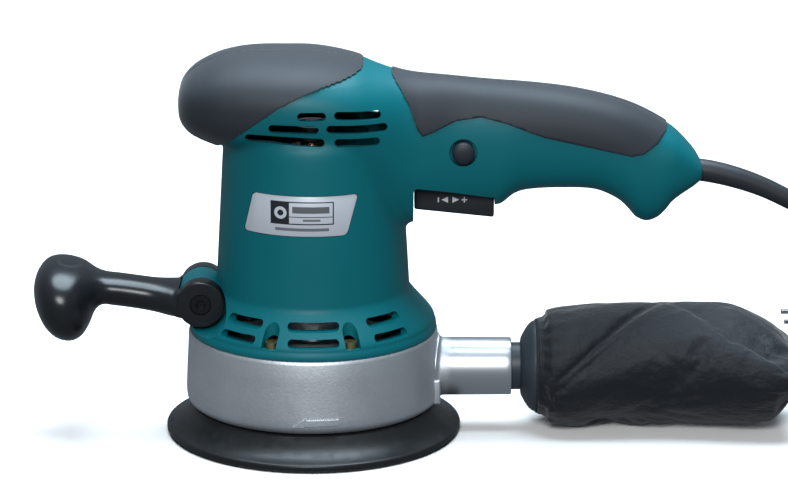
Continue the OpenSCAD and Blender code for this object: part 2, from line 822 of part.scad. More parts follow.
module brush_holders() {
  color([0.75, 0.62, 0.3]) for (s = [0, 180]) rotate([0, 0, s])
    translate([comm_r + 2, 0, comm_z + comm_h / 2])
    difference() {
      translate([0, -5, -4]) cube([stator_r - comm_r - 4, 10, 8]);
      translate([-1, -3.6, -2.6]) cube([stator_r - comm_r - 4, 7.2, 5.2]);
    }
}

module brushes() {
  color([0.12, 0.12, 0.12]) for (s = [0, 180]) rotate([0, 0, s])
    translate([comm_r + running_gap, -3.5, comm_z + comm_h / 2 - 2.5]) cube([12, 7, 5]);
}

module brush_springs() {
  color(steel) for (s = [0, 180]) rotate([0, 0, s])
    translate([comm_r + running_gap + 12, 0, comm_z + comm_h / 2]) rotate([0, 90, 0])
      difference() {
        cylinder(r = 2.2, h = stator_r - comm_r - 15 - running_gap, $fn = 24);
        translate([0, 0, -1]) cylinder(r = 1.4, h = 40, $fn = 24);
      }
}

// --- Switch, trigger, dial and lock button ------------------------------------------------------

switch_x = bay_x0 + 4;
switch_l = 34;
switch_z = bay_z + 6.2;
switch_h = 14;
switch_half = 8.5;

module switch_body() {
  color(black) {
    translate([switch_x, -switch_half, switch_z]) cube([switch_l, 2 * switch_half, switch_h]);
    translate([switch_x + 4, -switch_half + 2, switch_z + switch_h]) cube([6, 5, 4]);
    translate([switch_x + 24, -switch_half + 2, switch_z + switch_h]) cube([6, 5, 4]);
  }
}

module speed_module() {
  color([0.1, 0.3, 0.15]) {
    translate([100, -12, head_top - 54]) cube([30, 24, 1.6]);
    translate([104, -8, head_top - 52.4]) cube([12, 14, 9]);
    translate([119, -6, head_top - 52.4]) cube([8, 10, 6]);
  }
}

trigger_end = bay_x1 - 1.6;
trigger_drop = 14.2;
dial_x = 74;
dial_r = 8;
dial_z = bay_z - trigger_drop + dial_r + 0.8;
dial_half = 5;

module trigger() {
  color(black) difference() {
    union() {
      rotate([90, 0, 0]) linear_extrude(height = 2 * trigger_half, center = true)
        polygon([
          [bay_x0 + 0.8, bay_z - 0.6], [bay_x0 + 0.8, bay_z - 9.4], [bay_x0 + 2.4, bay_z - 10.8],
          [trigger_end - 1.5, bay_z - trigger_drop], [trigger_end, bay_z - trigger_drop + 1.5],
          [trigger_end, bay_z - 0.6]
        ]);
      translate([switch_x + 29, -4, bay_z - 2]) cube([5, 8, 4.6]);
      translate([pivot_x, 0, pivot_z]) along_y(pivot_r, -trigger_half - 2.4, trigger_half + 2.4, 32);
    }
    translate([dial_x, 0, dial_z]) along_y(dial_r + 0.6, -dial_half - 0.4, dial_half + 0.4);
    translate([dial_x, 0, dial_z]) along_y(1.55, -trigger_half + 2, trigger_half - 2, 24);
    translate([dial_x - dial_r - 0.6, -dial_half - 0.4, dial_z])
      cube([2 * dial_r + 1.2, 2 * dial_half + 0.8, 20]);
  }
}

module speed_dial() {
  color([0.16, 0.16, 0.18]) translate([dial_x, 0, dial_z]) {
    difference() {
      along_y(dial_r, -dial_half, dial_half);
      for (i = [0:23]) rotate([0, i * 15, 0]) translate([dial_r, 0, 0])
        along_y(0.5, -dial_half - 1, dial_half + 1, 16);
    }
    along_y(1.5, -trigger_half + 2.4, trigger_half - 2.4, 24);
  }
}

module lock_button() {
  color(rubber_grey) translate([button_x, 0, button_z]) {
    rotate([90, 0, 0]) rotate_extrude($fn = 48)
      polygon([
        [0, -button_face_y - 2.2], [button_r - 1.6, -button_face_y - 2.2 - 6],
        [button_r - 1.6, -button_face_y + 1.8],
        [button_r, -button_face_y + 1.8], [button_r, -button_face_y + 3.2],
        [button_r - 1, -button_face_y + 4.4],
        [2, -button_face_y + 5], [0, -button_face_y + 5]
      ]);
  }
}

// --- Mains lead ----------------------------------------------------------------------------------

cord_r = cord_d / 2;
exit_x = reach(tail_x) + 1;
exit_z = head_top - 61.6;
relief_r = 5.6;

// Route of the strain relief and of the lead outside the tool
relief_route = [
  [exit_x - 14, 0, exit_z + 0.6], [exit_x, 0, exit_z], [213, 0, 131.8], [228, 0, 126.4], [243, 0, 119]
];
lead_route = [
  [243, 0, 119], [255, 0, 112], [267, 0, 103], [278, 1, 91], [287, 3, 77], [295, 6, 62],
  [303, 9, 47], [313, 11, 33], [325, 13, 21], [338, 18, 12], [350, 26, 7], [359, 38, 5],
  [363.5, 51, 5], [364.5, 65, 5], [362, 78, 5]
];
coil_mid = [310, 78];
coil_turn_r = [52, 44, 36];
// The lead's end climbs over the last turn and lies on the coil
tail_mid = [coil_mid[0] + 16, coil_mid[1]];
tail_r = 36;
plug_z = 2 * cord_d + 8.5;
function shift(a) = let (t = (a - 180) / 180) t * t * (3 - 2 * t);
function climb(a) = let (t = (a - 223) / 137) t * t * (3 - 2 * t);
tail_route = concat(
  [for (a = [235:12.5:360])
    let (r = coil_turn_r[1] + cord_d * (shift(a) + sqrt(max(0, 1 - climb(a) ^ 2))))
    [coil_mid[0] + r * cos(a), coil_mid[1] + r * sin(a), 13 + cord_d * climb(a)]],
  [for (a = [15:15:90])
    [tail_mid[0] + tail_r * cos(a), tail_mid[1] + tail_r * sin(a), 21 + (plug_z - 21) * a / 90]],
  [[tail_mid[0] - 8, tail_mid[1] + tail_r, plug_z]]
);
tie_t = 1;

// Unit vector
function unit(v) = v / norm(v);

// Direction of a route at its point i
function heading(p, i) = unit(p[min(i + 1, len(p) - 1)] - p[max(i - 1, 0)]);

// Ring of a tube about point i of a route
function tube_ring(p, i, r, sides) =
  let (t = heading(p, i), u = unit(cross([0, 0, 1], t)), v = cross(t, u))
  [for (k = [0:sides - 1]) let (a = k * 360 / sides) p[i] + r * (cos(a) * u + sin(a) * v)];

module tube(route, r0, r1, sides = 12) {
  n = len(route) - 1;
  skin([for (i = [0:n]) tube_ring(route, i, r0 + (r1 - r0) * i / n, sides)]);
}

module cord_way() {
  translate([exit_x - 30, 0, exit_z + 0.6]) rotate([0, 90, 0])
    cylinder(r = relief_r + 0.3, h = 60, $fn = 48);
}

module strain_relief() {
  color(black) {
    tube(relief_route, relief_r, 5, 16);
    translate([exit_x - 18, 0, exit_z + 0.6]) rotate([0, 90, 0])
      cylinder(r = relief_r - 0.2, h = 4.5, $fn = 48);
  }
}

module cord_clamp() {
  color(black) difference() {
    translate([reach(163), -11, exit_z - 4]) cube([9, 22, 13]);
    translate([reach(163) - 1, 0, exit_z + 0.6]) rotate([0, 90, 0])
      cylinder(r = cord_r, h = 20, $fn = 32);
  }
}

module cord_lead() {
  color(black) {
    tube(lead_route, cord_r, cord_r, 10);
    tube(tail_route, cord_r, cord_r, 10);
  }
}

module cord_coil() {
  color(black) translate([coil_mid[0], coil_mid[1], tie_t]) difference() {
    cylinder(r = coil_turn_r[0] + cord_r, h = 2 * cord_d);
    translate([0, 0, -1]) cylinder(r = coil_turn_r[2] - cord_r, h = 3 * cord_d);
  }
}

module coil_tie() {
  color([0.2, 0.2, 0.2]) translate([coil_mid[0], coil_mid[1], 0]) rotate([0, 0, 215]) difference() {
    translate([coil_turn_r[2] - cord_r - 1.2, -6, 0])
      cube([coil_turn_r[0] - coil_turn_r[2] + cord_d + 2.4, 12, 2 * cord_d + 2 * tie_t]);
    difference() {
      translate([0, 0, tie_t]) cylinder(r = coil_turn_r[0] + cord_r, h = 2 * cord_d);
      translate([0, 0, -1]) cylinder(r = coil_turn_r[2] - cord_r, h = 3 * cord_d);
    }
  }
}

plug_l = 34;
plug_half = 17.5;
plug_t = 14;

// The plug points along -X from the end of the lead
module at_plug() {
  translate([tail_mid[0] - 8, tail_mid[1] + tail_r, plug_z]) rotate([0, 0, 90]) children();
}

module plug_body() {
  color(black) at_plug() {
    rotate([-90, 0, 0]) cylinder(r1 = 5, r2 = 6.2, h = 16, $fn = 48);
    translate([0, 0, -plug_t / 2]) linear_extrude(height = plug_t)
      polygon([
        [-6, 14], [6, 14], [plug_half - 3, 24], [plug_half, 28], [plug_half, 14 + plug_l],
        [-plug_half, 14 + plug_l], [-plug_half, 28], [-plug_half + 3, 24]
      ]);
  }
}

module plug_pins() {
  color(steel) at_plug() for (s = [-1, 1])
    translate([s * pin_spacing / 2, 14 + plug_l, 0]) along_y(2, 0, 19, 32);
}

// --- Front handle -----------------------------------------------------------------------------------

ear_y0 = lug_half + running_gap;
ear_y1 = ear_y0 + ear_t;
arm_tilt = 10;

// Sections of the arm and palm knob: distance out, middle height, half height, half width
arm_sections = [
  [15, -3.8, 8, 12.6], [22, -4, 8, 12], [34, -4.2, 7.8, 11.8], [44, -4.6, 8, 12], [49, -5.2, 8.8, 13.2],
  [52, -7, 12, 17.5], [54.5, -9.4, 16.2, 23], [57.5, -11.6, 19.6, 28.4], [62, -13, 21.8, 31.6],
  [67, -13.4, 22.4, 32.4], [73, -12.9, 21.6, 31.6], [78, -11.9, 18.8, 28.4], [81.4, -10.9, 14, 22],
  [83.6, -10.2, 8.6, 14], [84.4, -10, 4, 7]
];
knob_lean = 0.28;

function arm_out(s) = s <= 44 ? s : 44 + (s - 44) * (knob_reach - 44) / 41;
function arm_lean(s) = knob_lean * min(1, max(0, (s - 45) / 8));

module front_handle() {
  color(black) difference() {
    union() {
      at_clamp() along_y(ear_r, -ear_y1, ear_y1);
      at_clamp() rotate([0, arm_tilt, 0]) {
        translate([-ear_r - 6, -ear_y1 + 0.6, -9.5]) cube([16, 2 * ear_y1 - 1.2, 13.6]);
        skin([
          for (p = arm_sections) [for (i = [0:23])
              let (a = -(i + 0.5) * 15, rise = p[2] * super(sin(a), 2.4))
              [-arm_out(p[0]) - rise * arm_lean(p[0]), p[3] * super(cos(a), 2.4), p[1] + rise]]
        ]);
      }
    }
    at_clamp() along_y(bolt_d / 2 + 0.05, -30, 30);
    at_clamp() along_y(bolt_d / 2 + 2.4, -ear_y1 - 1, -ear_y1 + 4);
    at_clamp() rotate([90, 0, 0]) translate([0, 0, -ear_y1 - 1])
      cylinder(r = bolt_d * 0.96 + 0.1, h = 5, $fn = 6);
    at_clamp() along_y(ear_r + 1, -lug_half - running_gap, lug_half + running_gap);
  }
}

module handle_bolt() {
  color(steel) difference() {
    union() {
      at_clamp() along_y(bolt_d / 2, -ear_y1 + 4, ear_y1 - 4 + 4);
      at_clamp() along_y(bolt_d / 2 + 2, -ear_y1 + 0.4, -ear_y1 + 4);
    }
    at_clamp() rotate([90, 0, 0]) translate([0, 0, ear_y1 - 3.4])
      cylinder(r = bolt_d * 0.45, h = 6, $fn = 6);
  }
}

module handle_nut() {
  color(steel) at_clamp() difference() {
    rotate([90, 0, 0]) translate([0, 0, -ear_y1]) cylinder(r = bolt_d * 0.96, h = 4, $fn = 6);
    along_y(bolt_d / 2 + 0.05, -30, 30);
  }
}

// --- Pad ---------------------------------------------------------------------------------------------

facing_t = 1.6;
plate_low = 9;
plate_high = 13;
pad_r = pad_d / 2;
pad_plate_r = pad_r - 19;
screw_well_r = 12;
pad_top_z = 15;

module dust_hole_cuts(z0, z1) {
  for (i = [0:dust_holes - 1])
    rotate([0, 0, i * 360 / dust_holes]) translate([dust_hole_circle / 2, 0, z0])
      cylinder(r = dust_hole_d / 2, h = z1 - z0, $fn = 32);
}

module pad_facing() {
  color([0.2, 0.2, 0.21]) translate([0, -orbit, 0]) difference() {
    cylinder(r = pad_r - 0.6, h = facing_t, $fn = 96);
    translate([0, 0, -1]) cylinder(r = screw_well_r, h = 4);
    dust_hole_cuts(-1, 3);
  }
}

module pad_foam() {
  color(black) translate([0, -orbit, 0]) difference() {
    rotate_extrude($fn = 96)
      polygon([
        [0, facing_t], [pad_r, facing_t], [pad_r, pad_edge_h - 0.6], [pad_r - 0.8, pad_edge_h + 0.4],
        [pad_r - 4, pad_edge_h + 1.6], [pad_r - 8, pad_edge_h + 4.4], [pad_r - 12, pad_edge_h + 8.4],
        [pad_r - 14.4, pad_top_z], [0, pad_top_z]
      ]);
    translate([0, 0, plate_low]) cylinder(r = pad_plate_r, h = 20, $fn = 96);
    cylinder(r = screw_well_r, h = 20);
    dust_hole_cuts(0, 20);
  }
}

module pad_plate() {
  color([0.15, 0.15, 0.16]) translate([0, -orbit, 0]) difference() {
    translate([0, 0, plate_low]) cylinder(r = pad_plate_r, h = plate_high - plate_low, $fn = 96);
    cylinder(r = 4.2, h = 20);
    dust_hole_cuts(0, 20);
  }
}

spindle_low = plate_high;
spindle_flange_h = pad_bearing_z - plate_high - 0.5;
pad_bolt_r = 4;

module pad_spindle() {
  color(steel) translate([0, -orbit, 0]) difference() {
    union() {
      translate([0, 0, spindle_low]) cylinder(r = 15, h = spindle_flange_h - 2.5);
      translate([0, 0, spindle_low]) cylinder(r = 10, h = spindle_flange_h + 0.5);
      translate([0, 0, spindle_low])
        cylinder(r = pad_bearing_bore, h = pad_bearing_z + pad_bearing_w - 1 - spindle_low);
    }
    translate([0, 0, spindle_low - 1]) cylinder(r = pad_bolt_r, h = 15);
  }
}

module pad_screw() {
  color(steel) translate([0, -orbit, 0]) difference() {
    union() {
      translate([0, 0, plate_low - 5]) cylinder(r = 7, h = 5);
      translate([0, 0, plate_low - 1.2]) cylinder(r = 11, h = 1.2);
      translate([0, 0, plate_low - 1]) cylinder(r = pad_bolt_r, h = 16);
    }
    translate([0, 0, plate_low - 6]) cylinder(r = 3.4, h = 4, $fn = 6);
  }
}

module pad_bearing_outer() translate([0, -orbit, pad_bearing_z])
  outer_ring(pad_bearing_r, pad_bearing_bore, pad_bearing_w);
module pad_bearing_inner() translate([0, -orbit, pad_bearing_z])
  inner_ring(pad_bearing_r, pad_bearing_bore, pad_bearing_w);
module pad_bearing_balls() translate([0, -orbit, pad_bearing_z])
  ball_set(pad_bearing_r, pad_bearing_bore, pad_bearing_w, 8);

// --- Dust bag -------------------------------------------------------------------------------------------

neck_r = nozzle_bore - running_gap;
collar_x = nozzle_reach + 4.5;
collar_r = 23.4;
bag_x = collar_x + 11.5;

module about_nozzle() {
  translate([0, 0, nozzle_z]) rotate([0, 90, 0]) children();
}

module bag_collar() {
  color([0.16, 0.18, 0.2]) about_nozzle() rotate_extrude($fn = 72)
    polygon([
      [neck_r - 2, nozzle_reach - 13], [neck_r, nozzle_reach - 13], [neck_r, collar_x],
      [neck_r + 4, collar_x + 1.2], [collar_r - 2, collar_x + 4.6], [collar_r, collar_x + 7],
      [collar_r, bag_x], [collar_r - 3, bag_x], [collar_r - 3, collar_x + 8],
      [neck_r - 2, collar_x + 2.4]
    ]);
}

module bag_band() {
  color(black) about_nozzle() rotate_extrude($fn = 72)
    translate([collar_r, bag_x - 4.4]) square([1.4, 4.4]);
}

// Bag sections: share of the length, half height and half width as shares of the radius, and rise
bag_sections = [
  [0, 0.84, 0.84, 0], [0.03, 0.95, 0.96, 0], [0.1, 1, 1.01, 0], [0.3, 1.01, 1.02, 0.3],
  [0.6, 1.01, 1.07, 0.5], [0.74, 1.01, 1.1, 0.4], [0.8, 0.965, 1.12, -0.9], [0.86, 0.89, 1.13, -2.8],
  [0.9, 0.8, 1.14, -4.2], [0.94, 0.584, 1.145, -2.85], [0.975, 0.35, 1.145, -1.55], [1, 0.1, 1.14, -0.5]
];

module dust_bag() {
  color([0.08, 0.08, 0.09]) skin([
    for (p = bag_sections) [for (i = [0:23]) let (a = (i + 0.5) * 15)
      [bag_x + p[0] * bag_len, bag_d / 2 * p[2] * super(cos(a), 2.1),
        nozzle_z + p[3] + bag_d / 2 * p[1] * super(sin(a), 2.1)]]
  ]);
}

left_housing();
right_housing();
left_front_grip();
right_front_grip();
left_rear_grip();
right_rear_grip();
name_plate();
housing_screws();
base_casting();
base_screws();
bearing_plate();
plate_screws();
lower_bearing_outer();
lower_bearing_inner();
lower_bearing_balls();
upper_bearing_outer();
upper_bearing_inner();
upper_bearing_balls();
stator_core();
stator_coils();
armature_shaft();
armature_core();
armature_coils();
commutator();
cooling_fan();
dust_fan();
eccentric_hub();
brush_holders();
brushes();
brush_springs();
switch_body();
speed_module();
trigger();
speed_dial();
lock_button();
cord_clamp();
strain_relief();
cord_lead();
cord_coil();
coil_tie();
plug_body();
plug_pins();
front_handle();
handle_bolt();
handle_nut();
pad_bearing_outer();
pad_bearing_inner();
pad_bearing_balls();
pad_spindle();
pad_plate();
pad_foam();
pad_facing();
pad_screw();
bag_collar();
bag_band();
dust_bag();
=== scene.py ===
"""Random orbital sander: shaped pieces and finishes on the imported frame."""

import math

import bpy
import numpy as np
from bpy.props import FloatProperty, FloatVectorProperty, IntProperty, PointerProperty
from bpy.types import Operator, Panel, PropertyGroup
from mathutils import Matrix, Vector


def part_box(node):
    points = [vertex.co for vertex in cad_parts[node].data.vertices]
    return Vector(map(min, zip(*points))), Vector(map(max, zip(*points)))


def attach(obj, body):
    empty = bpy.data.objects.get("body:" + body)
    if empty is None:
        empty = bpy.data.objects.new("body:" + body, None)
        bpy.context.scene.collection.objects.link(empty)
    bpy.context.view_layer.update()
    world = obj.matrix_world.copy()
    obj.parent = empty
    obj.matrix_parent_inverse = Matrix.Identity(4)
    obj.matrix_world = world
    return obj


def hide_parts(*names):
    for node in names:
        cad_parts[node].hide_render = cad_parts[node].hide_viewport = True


bl_info = {
    "name": "Orbital Sander",
    "version": (1, 0, 0),
    "blender": (4, 5, 0),
    "location": "3D View > Sidebar > Sander",
    "description": "Builds the shaped pieces and the finishes of a random orbital sander",
    "category": "Object",
}

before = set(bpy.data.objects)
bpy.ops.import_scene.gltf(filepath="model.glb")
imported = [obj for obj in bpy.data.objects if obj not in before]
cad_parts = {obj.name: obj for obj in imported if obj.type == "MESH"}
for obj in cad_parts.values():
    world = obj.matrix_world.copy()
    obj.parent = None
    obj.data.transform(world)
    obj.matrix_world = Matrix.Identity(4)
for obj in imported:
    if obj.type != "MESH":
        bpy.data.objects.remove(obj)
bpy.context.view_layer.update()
MM = 0.001


def corner(node, end, axis):
    """One coordinate, in millimetres, of a frame node's lowest (0) or highest (1) corner."""
    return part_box(node)[end][axis] / MM


# --- Design values, in millimetres -----------------------------------------------------------

HEAD_TOP = 197.0
BASE_TOP = corner("base_casting", 1, 2)
SKIRT_Z = corner("base_casting", 0, 2)
FLARE_TOP = BASE_TOP + 23
BARREL_TOP = HEAD_TOP - 41
BARREL_R = 49.0
BARREL_TOP_R = BARREL_R - 4.4
SKIRT_R = 65.0
LIP_R = SKIRT_R - 2.2
NOZZLE_Z = 32.0
NOZZLE_REACH = corner("base_casting", 1, 0)
CLAMP_X = -56.4
CLAMP_Z = BASE_TOP + 16.5
EAR_R = 12.0
LUG_HALF = 10.0
EAR_IN = LUG_HALF + 0.3
EAR_OUT = EAR_IN + 9
ARM_TILT = math.radians(10)
ORBIT = 2.5
BAY = (51.0, 92.0, HEAD_TOP - 69.5)
BUTTON = (75.8, -19.8, HEAD_TOP - 47.3)
LABEL_Z = HEAD_TOP - 73.5
LABEL_ANGLE = math.radians(-7.8)
SCREWS = [(-48, 24), (32, 21), (66, 24), (116, 36), (140, 46), (172, 74)]
VENTS = [
    (-6.4, 7.8, 23.4, 0), (11.7, 34.8, 24.0, -4.4), (-20.7, 4.2, 29.9, -1.6), (7.9, 38, 30.6, -2.8),
    (-32.4, 7.1, 35.9, -3.0), (11.8, 34.3, 37.4, -1.8),
]
FLARE_ROWS = (BASE_TOP + 8.2, BASE_TOP + 15.2)
FLARE_SLOTS = ((-38, 10.9), (1.3, 12.9), (42, 10.8))
SCALLOPS = (-20, 20)
SCREW_CIRCLE = 56.8
PLATE_CIRCLE = 41.3
EXIT_Z = 136.0
DIAL = (74.0, 122.1)
PAD_R = 75.0
PAD_TOP = 15.0

# Depth of the head's and handle's upper and lower outlines below the head's top, along X
TOP_LINE = [
    (-66.2, 24), (-65.6, 19.5), (-64.1, 15.5), (-61, 11.5), (-55.9, 7.5), (-47.4, 3.6), (-38, 1.2),
    (-28, 0.1), (-14, 0), (2, 0.4), (21, 3.8), (33, 7.8), (48.5, 11.7), (70, 13.8), (87, 15.5),
    (110, 17.4), (130, 19.9), (148, 23.8), (161, 28), (170, 32.2), (177, 36.3), (182.5, 40.3),
    (187, 44.6), (190.5, 48.5), (193.5, 52.5), (196, 57),
]
LOW_LINE = [
    (-66.2, 27), (-65.6, 31.5), (-63.4, 35.8), (-59, 39.8), (-49.4, 44), (-38, 47), (0, 50),
    (24, 58), (36, 74), (44, 86), (50, 87.5), (60, 85), (92, 78.6), (95.5, 77.6), (102, 72.4),
    (110, 70.2), (127, 69.4), (141, 70), (148.5, 72.4), (155.5, 76.5), (159.5, 80.6), (163, 84.6),
    (168.5, 86.8), (174.2, 84.8), (178.2, 80.8), (181.2, 76.8), (186.7, 72.4), (192.5, 68.4),
    (196, 65),
]
# Half widths as shares of the head's and of the handle's
HEAD_SHARE = [
    (-66.2, 0.12), (-65.6, 0.32), (-64.1, 0.48), (-61, 0.62), (-55.9, 0.74), (-47.4, 0.85),
    (-38, 0.92), (-28, 0.965), (-14, 0.995), (0, 1), (14, 0.97), (24, 0.91), (33, 0.81), (41, 0.69),
    (48.5, 0.58), (58, 0.46), (70, 0.36), (86, 0.3), (196, 0.3),
]
HANDLE_SHARE = [
    (-66.2, 0), (24, 0), (70, 0.62), (86, 0.9), (96, 1), (160, 1), (170, 0.97), (177, 0.93),
    (182.5, 0.87), (187, 0.79), (190.5, 0.72), (193.5, 0.64), (196, 0.56),
]
# Edges of the grips on the sides: X and depth below the head's top
FRONT_GRIP = [
    (-90, 60), (-52, 60), (-47.5, 43.4), (-36, 34), (-26, 26.6), (-16, 19.4), (-5, 14), (6.5, 10),
    (16, 8), (26, 5.4), (30, -20), (-90, -20),
]
REAR_GRIP = [
    (37, -20), (38.5, 4), (39.5, 9), (44, 15), (49, 23.8), (52.8, 35), (55.4, 38.4), (61, 36.6),
    (72, 31.4), (84.6, 29.6), (98, 33), (116, 39.6), (142, 45.4), (160, 49.4), (166, 48.4),
    (173, 43.4), (179, 36.4), (184, 30), (200, -20),
]
# Arm and palm knob: distance out, middle height, half height, half width
ARM = [
    (10, -3.4, 8.4, 18.4), (14, -3.6, 8.3, 18), (19, -3.8, 8.1, 15), (25, -4, 7.9, 12.6),
    (34, -4.2, 7.8, 11.8), (44, -4.6, 7.8, 12), (50, -5.1, 7.9, 12.8), (54, -6.8, 10.2, 16.5),
    (56.5, -9.2, 13.8, 22), (59.5, -11.6, 17.2, 27.6), (63.5, -13, 19, 31.2), (68, -13.5, 19.5, 32.2),
    (73, -13.4, 18.6, 31.4), (77.6, -12.8, 16, 28),
    (81, -12.2, 12, 22), (83.4, -11.8, 7.4, 14), (84.4, -11.6, 3.4, 7),
]
# Bag: distance from its seat, top and bottom about the nozzle's axis, and half width
BAG = [
    (-3.4, 24.5, 24.5, 24.5), (-1, 24.7, 24.7, 24.8), (1.5, 25.6, 25.8, 26), (4, 27, 27.2, 27.4),
    (12, 28.6, 28.6, 28.8), (38, 29.4, 28.6, 29.4), (78, 29.6, 28.4, 30.6), (96, 29.2, 28.4, 31.4),
    (104, 26.8, 28.4, 31.8), (112, 22.6, 28, 32.2), (118, 18.4, 26.2, 32.4), (123, 13.8, 19, 32.6),
    (127.6, 8.2, 11, 32.6), (131, 1.6, 2.6, 32.4),
]
RELIEF = [(183, 0, 136), (197, 0, 135.4), (213, 0, 131.8), (228, 0, 126.4), (243, 0, 119)]
LEAD = [
    (243, 0, 119), (255, 0, 112), (267, 0, 103), (278, 1, 91), (287, 3, 77), (295, 6, 62),
    (303, 9, 47), (313, 11, 33), (325, 13, 21), (338, 18, 12), (350, 26, 7), (359, 38, 5),
    (363.5, 51, 5), (364.5, 65, 5),
]
COIL_MID = (310.0, 78.0)
TAIL_MID = (326.0, 78.0)
PLUG = (318.0, 114.0, 24.5)


def smooth_value(table, x):
    """Smooth value at x of a table of (place, value) rows."""
    rows = np.asarray(table, float)
    x = np.asarray(x, float)
    ends = np.arange(len(rows))
    before, after = np.maximum(ends - 1, 0), np.minimum(ends + 1, len(rows) - 1)
    slope = (rows[after, 1] - rows[before, 1]) / (rows[after, 0] - rows[before, 0])
    i = np.clip(np.searchsorted(rows[:, 0], x, side="right") - 1, 0, len(rows) - 2)
    width = rows[i + 1, 0] - rows[i, 0]
    u = np.clip((x - rows[i, 0]) / width, 0, 1)
    return (
        rows[i, 1] * (2 * u**3 - 3 * u**2 + 1)
        + slope[i] * width * (u**3 - 2 * u**2 + u)
        + rows[i + 1, 1] * (3 * u**2 - 2 * u**3)
        + slope[i + 1] * width * (u**3 - u**2)
    )


def ease(value, low, high):
    """0 below low, 1 above high, and a smooth step between."""
    t = np.clip((value - low) / (high - low), 0, 1)
    return t * t * (3 - 2 * t)


def form_section(x):
    """Middle height, half height and half width of the head and handle at x."""
    x = np.asarray(x, float)
    top = HEAD_TOP - smooth_value(TOP_LINE, x)
    low = HEAD_TOP - smooth_value(LOW_LINE, x)
    reach = 5 * ease(x, -40, -20) * (1 - ease(x, 150, 165))
    half = sum(form_half(x + d * reach) for d in (-1, -0.6, -0.2, 0.2, 0.6, 1)) / 6
    return (top + low) / 2, (top - low) / 2, half


def form_half(x):
    """Half width of the head and handle at x."""
    head = smooth_value(HEAD_SHARE, x) * 44 * np.where(x > 58, np.clip(1 - (x - 58) / 30, 0, 1), 1)
    handle = np.where(x > 24, smooth_value(HANDLE_SHARE, x) * 21, 0)
    throat = np.where((x > 40) & (x < 96), 21 * (1 + 0.3 * np.clip((70 - x) / 30, 0, None)), 0)
    return np.maximum(np.maximum(head, handle), throat)


def barrel_radius(z):
    return BARREL_R - (BARREL_R - BARREL_TOP_R) * (z - FLARE_TOP) / (BARREL_TOP - FLARE_TOP)


def oval(count, power, start=0.5):
    """Cosines and sines of a superellipse's ring of points."""
    a = (np.arange(count) + start) * 2 * math.pi / count
    c, s = np.cos(a), np.sin(a)
    return np.sign(c) * np.abs(c) ** (2 / power), np.sign(s) * np.abs(s) ** (2 / power)


def form_rings(grow, places, sides):
    """Rings of the head and handle, grown outwards."""
    c, s = oval(sides, 2.5)
    rings = []
    for x in places:
        mid, rise, half = (float(v) for v in form_section(x))
        nose = grow * (-48 - x) / 18.2 if x < -48 else 0
        end = grow * (x - 180) / 16 if x > 180 else 0
        rise, half = max(rise + grow, 0.6), max(half + grow, 0.6)
        rings.append([(x - nose + end, half * c[i], mid + rise * s[i]) for i in range(sides)])
    return rings


def form_places(step):
    """Places along the form, closer together at its ends."""
    inner = np.arange(-56, 182, step)
    nose = [-66.2, -65.9, -65.6, -65, -64.1, -62.8, -61, -58.8]
    return [*nose, *inner, 184, 186.5, 188.5, 190.5, 192.2, 193.8, 195, 196]


# --- Modelling helpers -------------------------------------------------------------------------


def only(obj):
    """Makes obj the only selected object, and the active one."""
    bpy.ops.object.select_all(action="DESELECT")
    obj.select_set(True)
    bpy.context.view_layer.objects.active = obj


def named(name):
    """The object that was just added, under its name."""
    obj = bpy.context.object
    obj.name = obj.data.name = name
    return obj


def edit_all(obj):
    """Opens a mesh in edit mode with everything in it selected."""
    only(obj)
    bpy.ops.object.mode_set(mode="EDIT")
    bpy.ops.mesh.select_all(action="SELECT")


def leave():
    bpy.ops.object.mode_set(mode="OBJECT")


def face_out():
    """Points every face of the mesh in edit mode outwards, and leaves edit mode."""
    bpy.ops.mesh.select_all(action="SELECT")
    bpy.ops.mesh.normals_make_consistent(inside=False)
    leave()


def points_of(obj):
    """Vertex places in millimetres."""
    co = np.empty(len(obj.data.vertices) * 3)
    obj.data.vertices.foreach_get("co", co)
    return co.reshape(-1, 3) / MM


def place_points(obj, points):
    obj.data.vertices.foreach_set("co", (np.asarray(points, float) * MM).ravel())
    obj.data.update()


def settle_faces(obj, gap=1e-4):
    """Merges doubles and points every face outwards."""
    edit_all(obj)
    bpy.ops.mesh.remove_doubles(threshold=gap * MM)
    bpy.ops.mesh.delete_loose()
    face_out()
    return obj


def loft(name, rings):
    """Closed skin over rings of points, from a grid."""
    rings = np.asarray(rings, float)
    rows, cols = rings.shape[:2]
    bpy.ops.object.select_all(action="DESELECT")
    bpy.ops.mesh.primitive_grid_add(x_subdivisions=cols, y_subdivisions=rows - 1, size=MM)
    obj = named(name)
    place_points(obj, np.concatenate([rings, rings[:, :1]], axis=1).reshape(-1, 3))
    edit_all(obj)
    bpy.ops.mesh.remove_doubles(threshold=1e-7)
    bpy.ops.mesh.select_all(action="DESELECT")
    bpy.ops.mesh.select_non_manifold()
    bpy.ops.mesh.fill_holes(sides=0)
    face_out()
    return obj


def outline(name, points):
    """A closed loop of edges through points."""
    bpy.ops.object.select_all(action="DESELECT")
    bpy.ops.mesh.primitive_circle_add(vertices=len(points), radius=MM)
    obj = named(name)
    place_points(obj, points)
    return obj


def turned(name, profile, steps=96, axis="Z", at=(0, 0, 0)):
    """Solid of a closed (radius, height) profile spun about an axis."""
    obj = outline(name, [(r, 0, h) for r, h in profile])
    edit_all(obj)
    bpy.ops.mesh.spin(steps=steps, angle=2 * math.pi, center=(0, 0, 0), axis=(0, 0, 1))
    leave()
    settle_faces(obj)
    p = points_of(obj)
    if axis == "X":
        p = np.stack([p[:, 2], p[:, 0], p[:, 1]], axis=1)
    elif axis == "Y":
        p = np.stack([p[:, 1], p[:, 2], p[:, 0]], axis=1)
    place_points(obj, p + np.array(at))
    return settle_faces(obj)


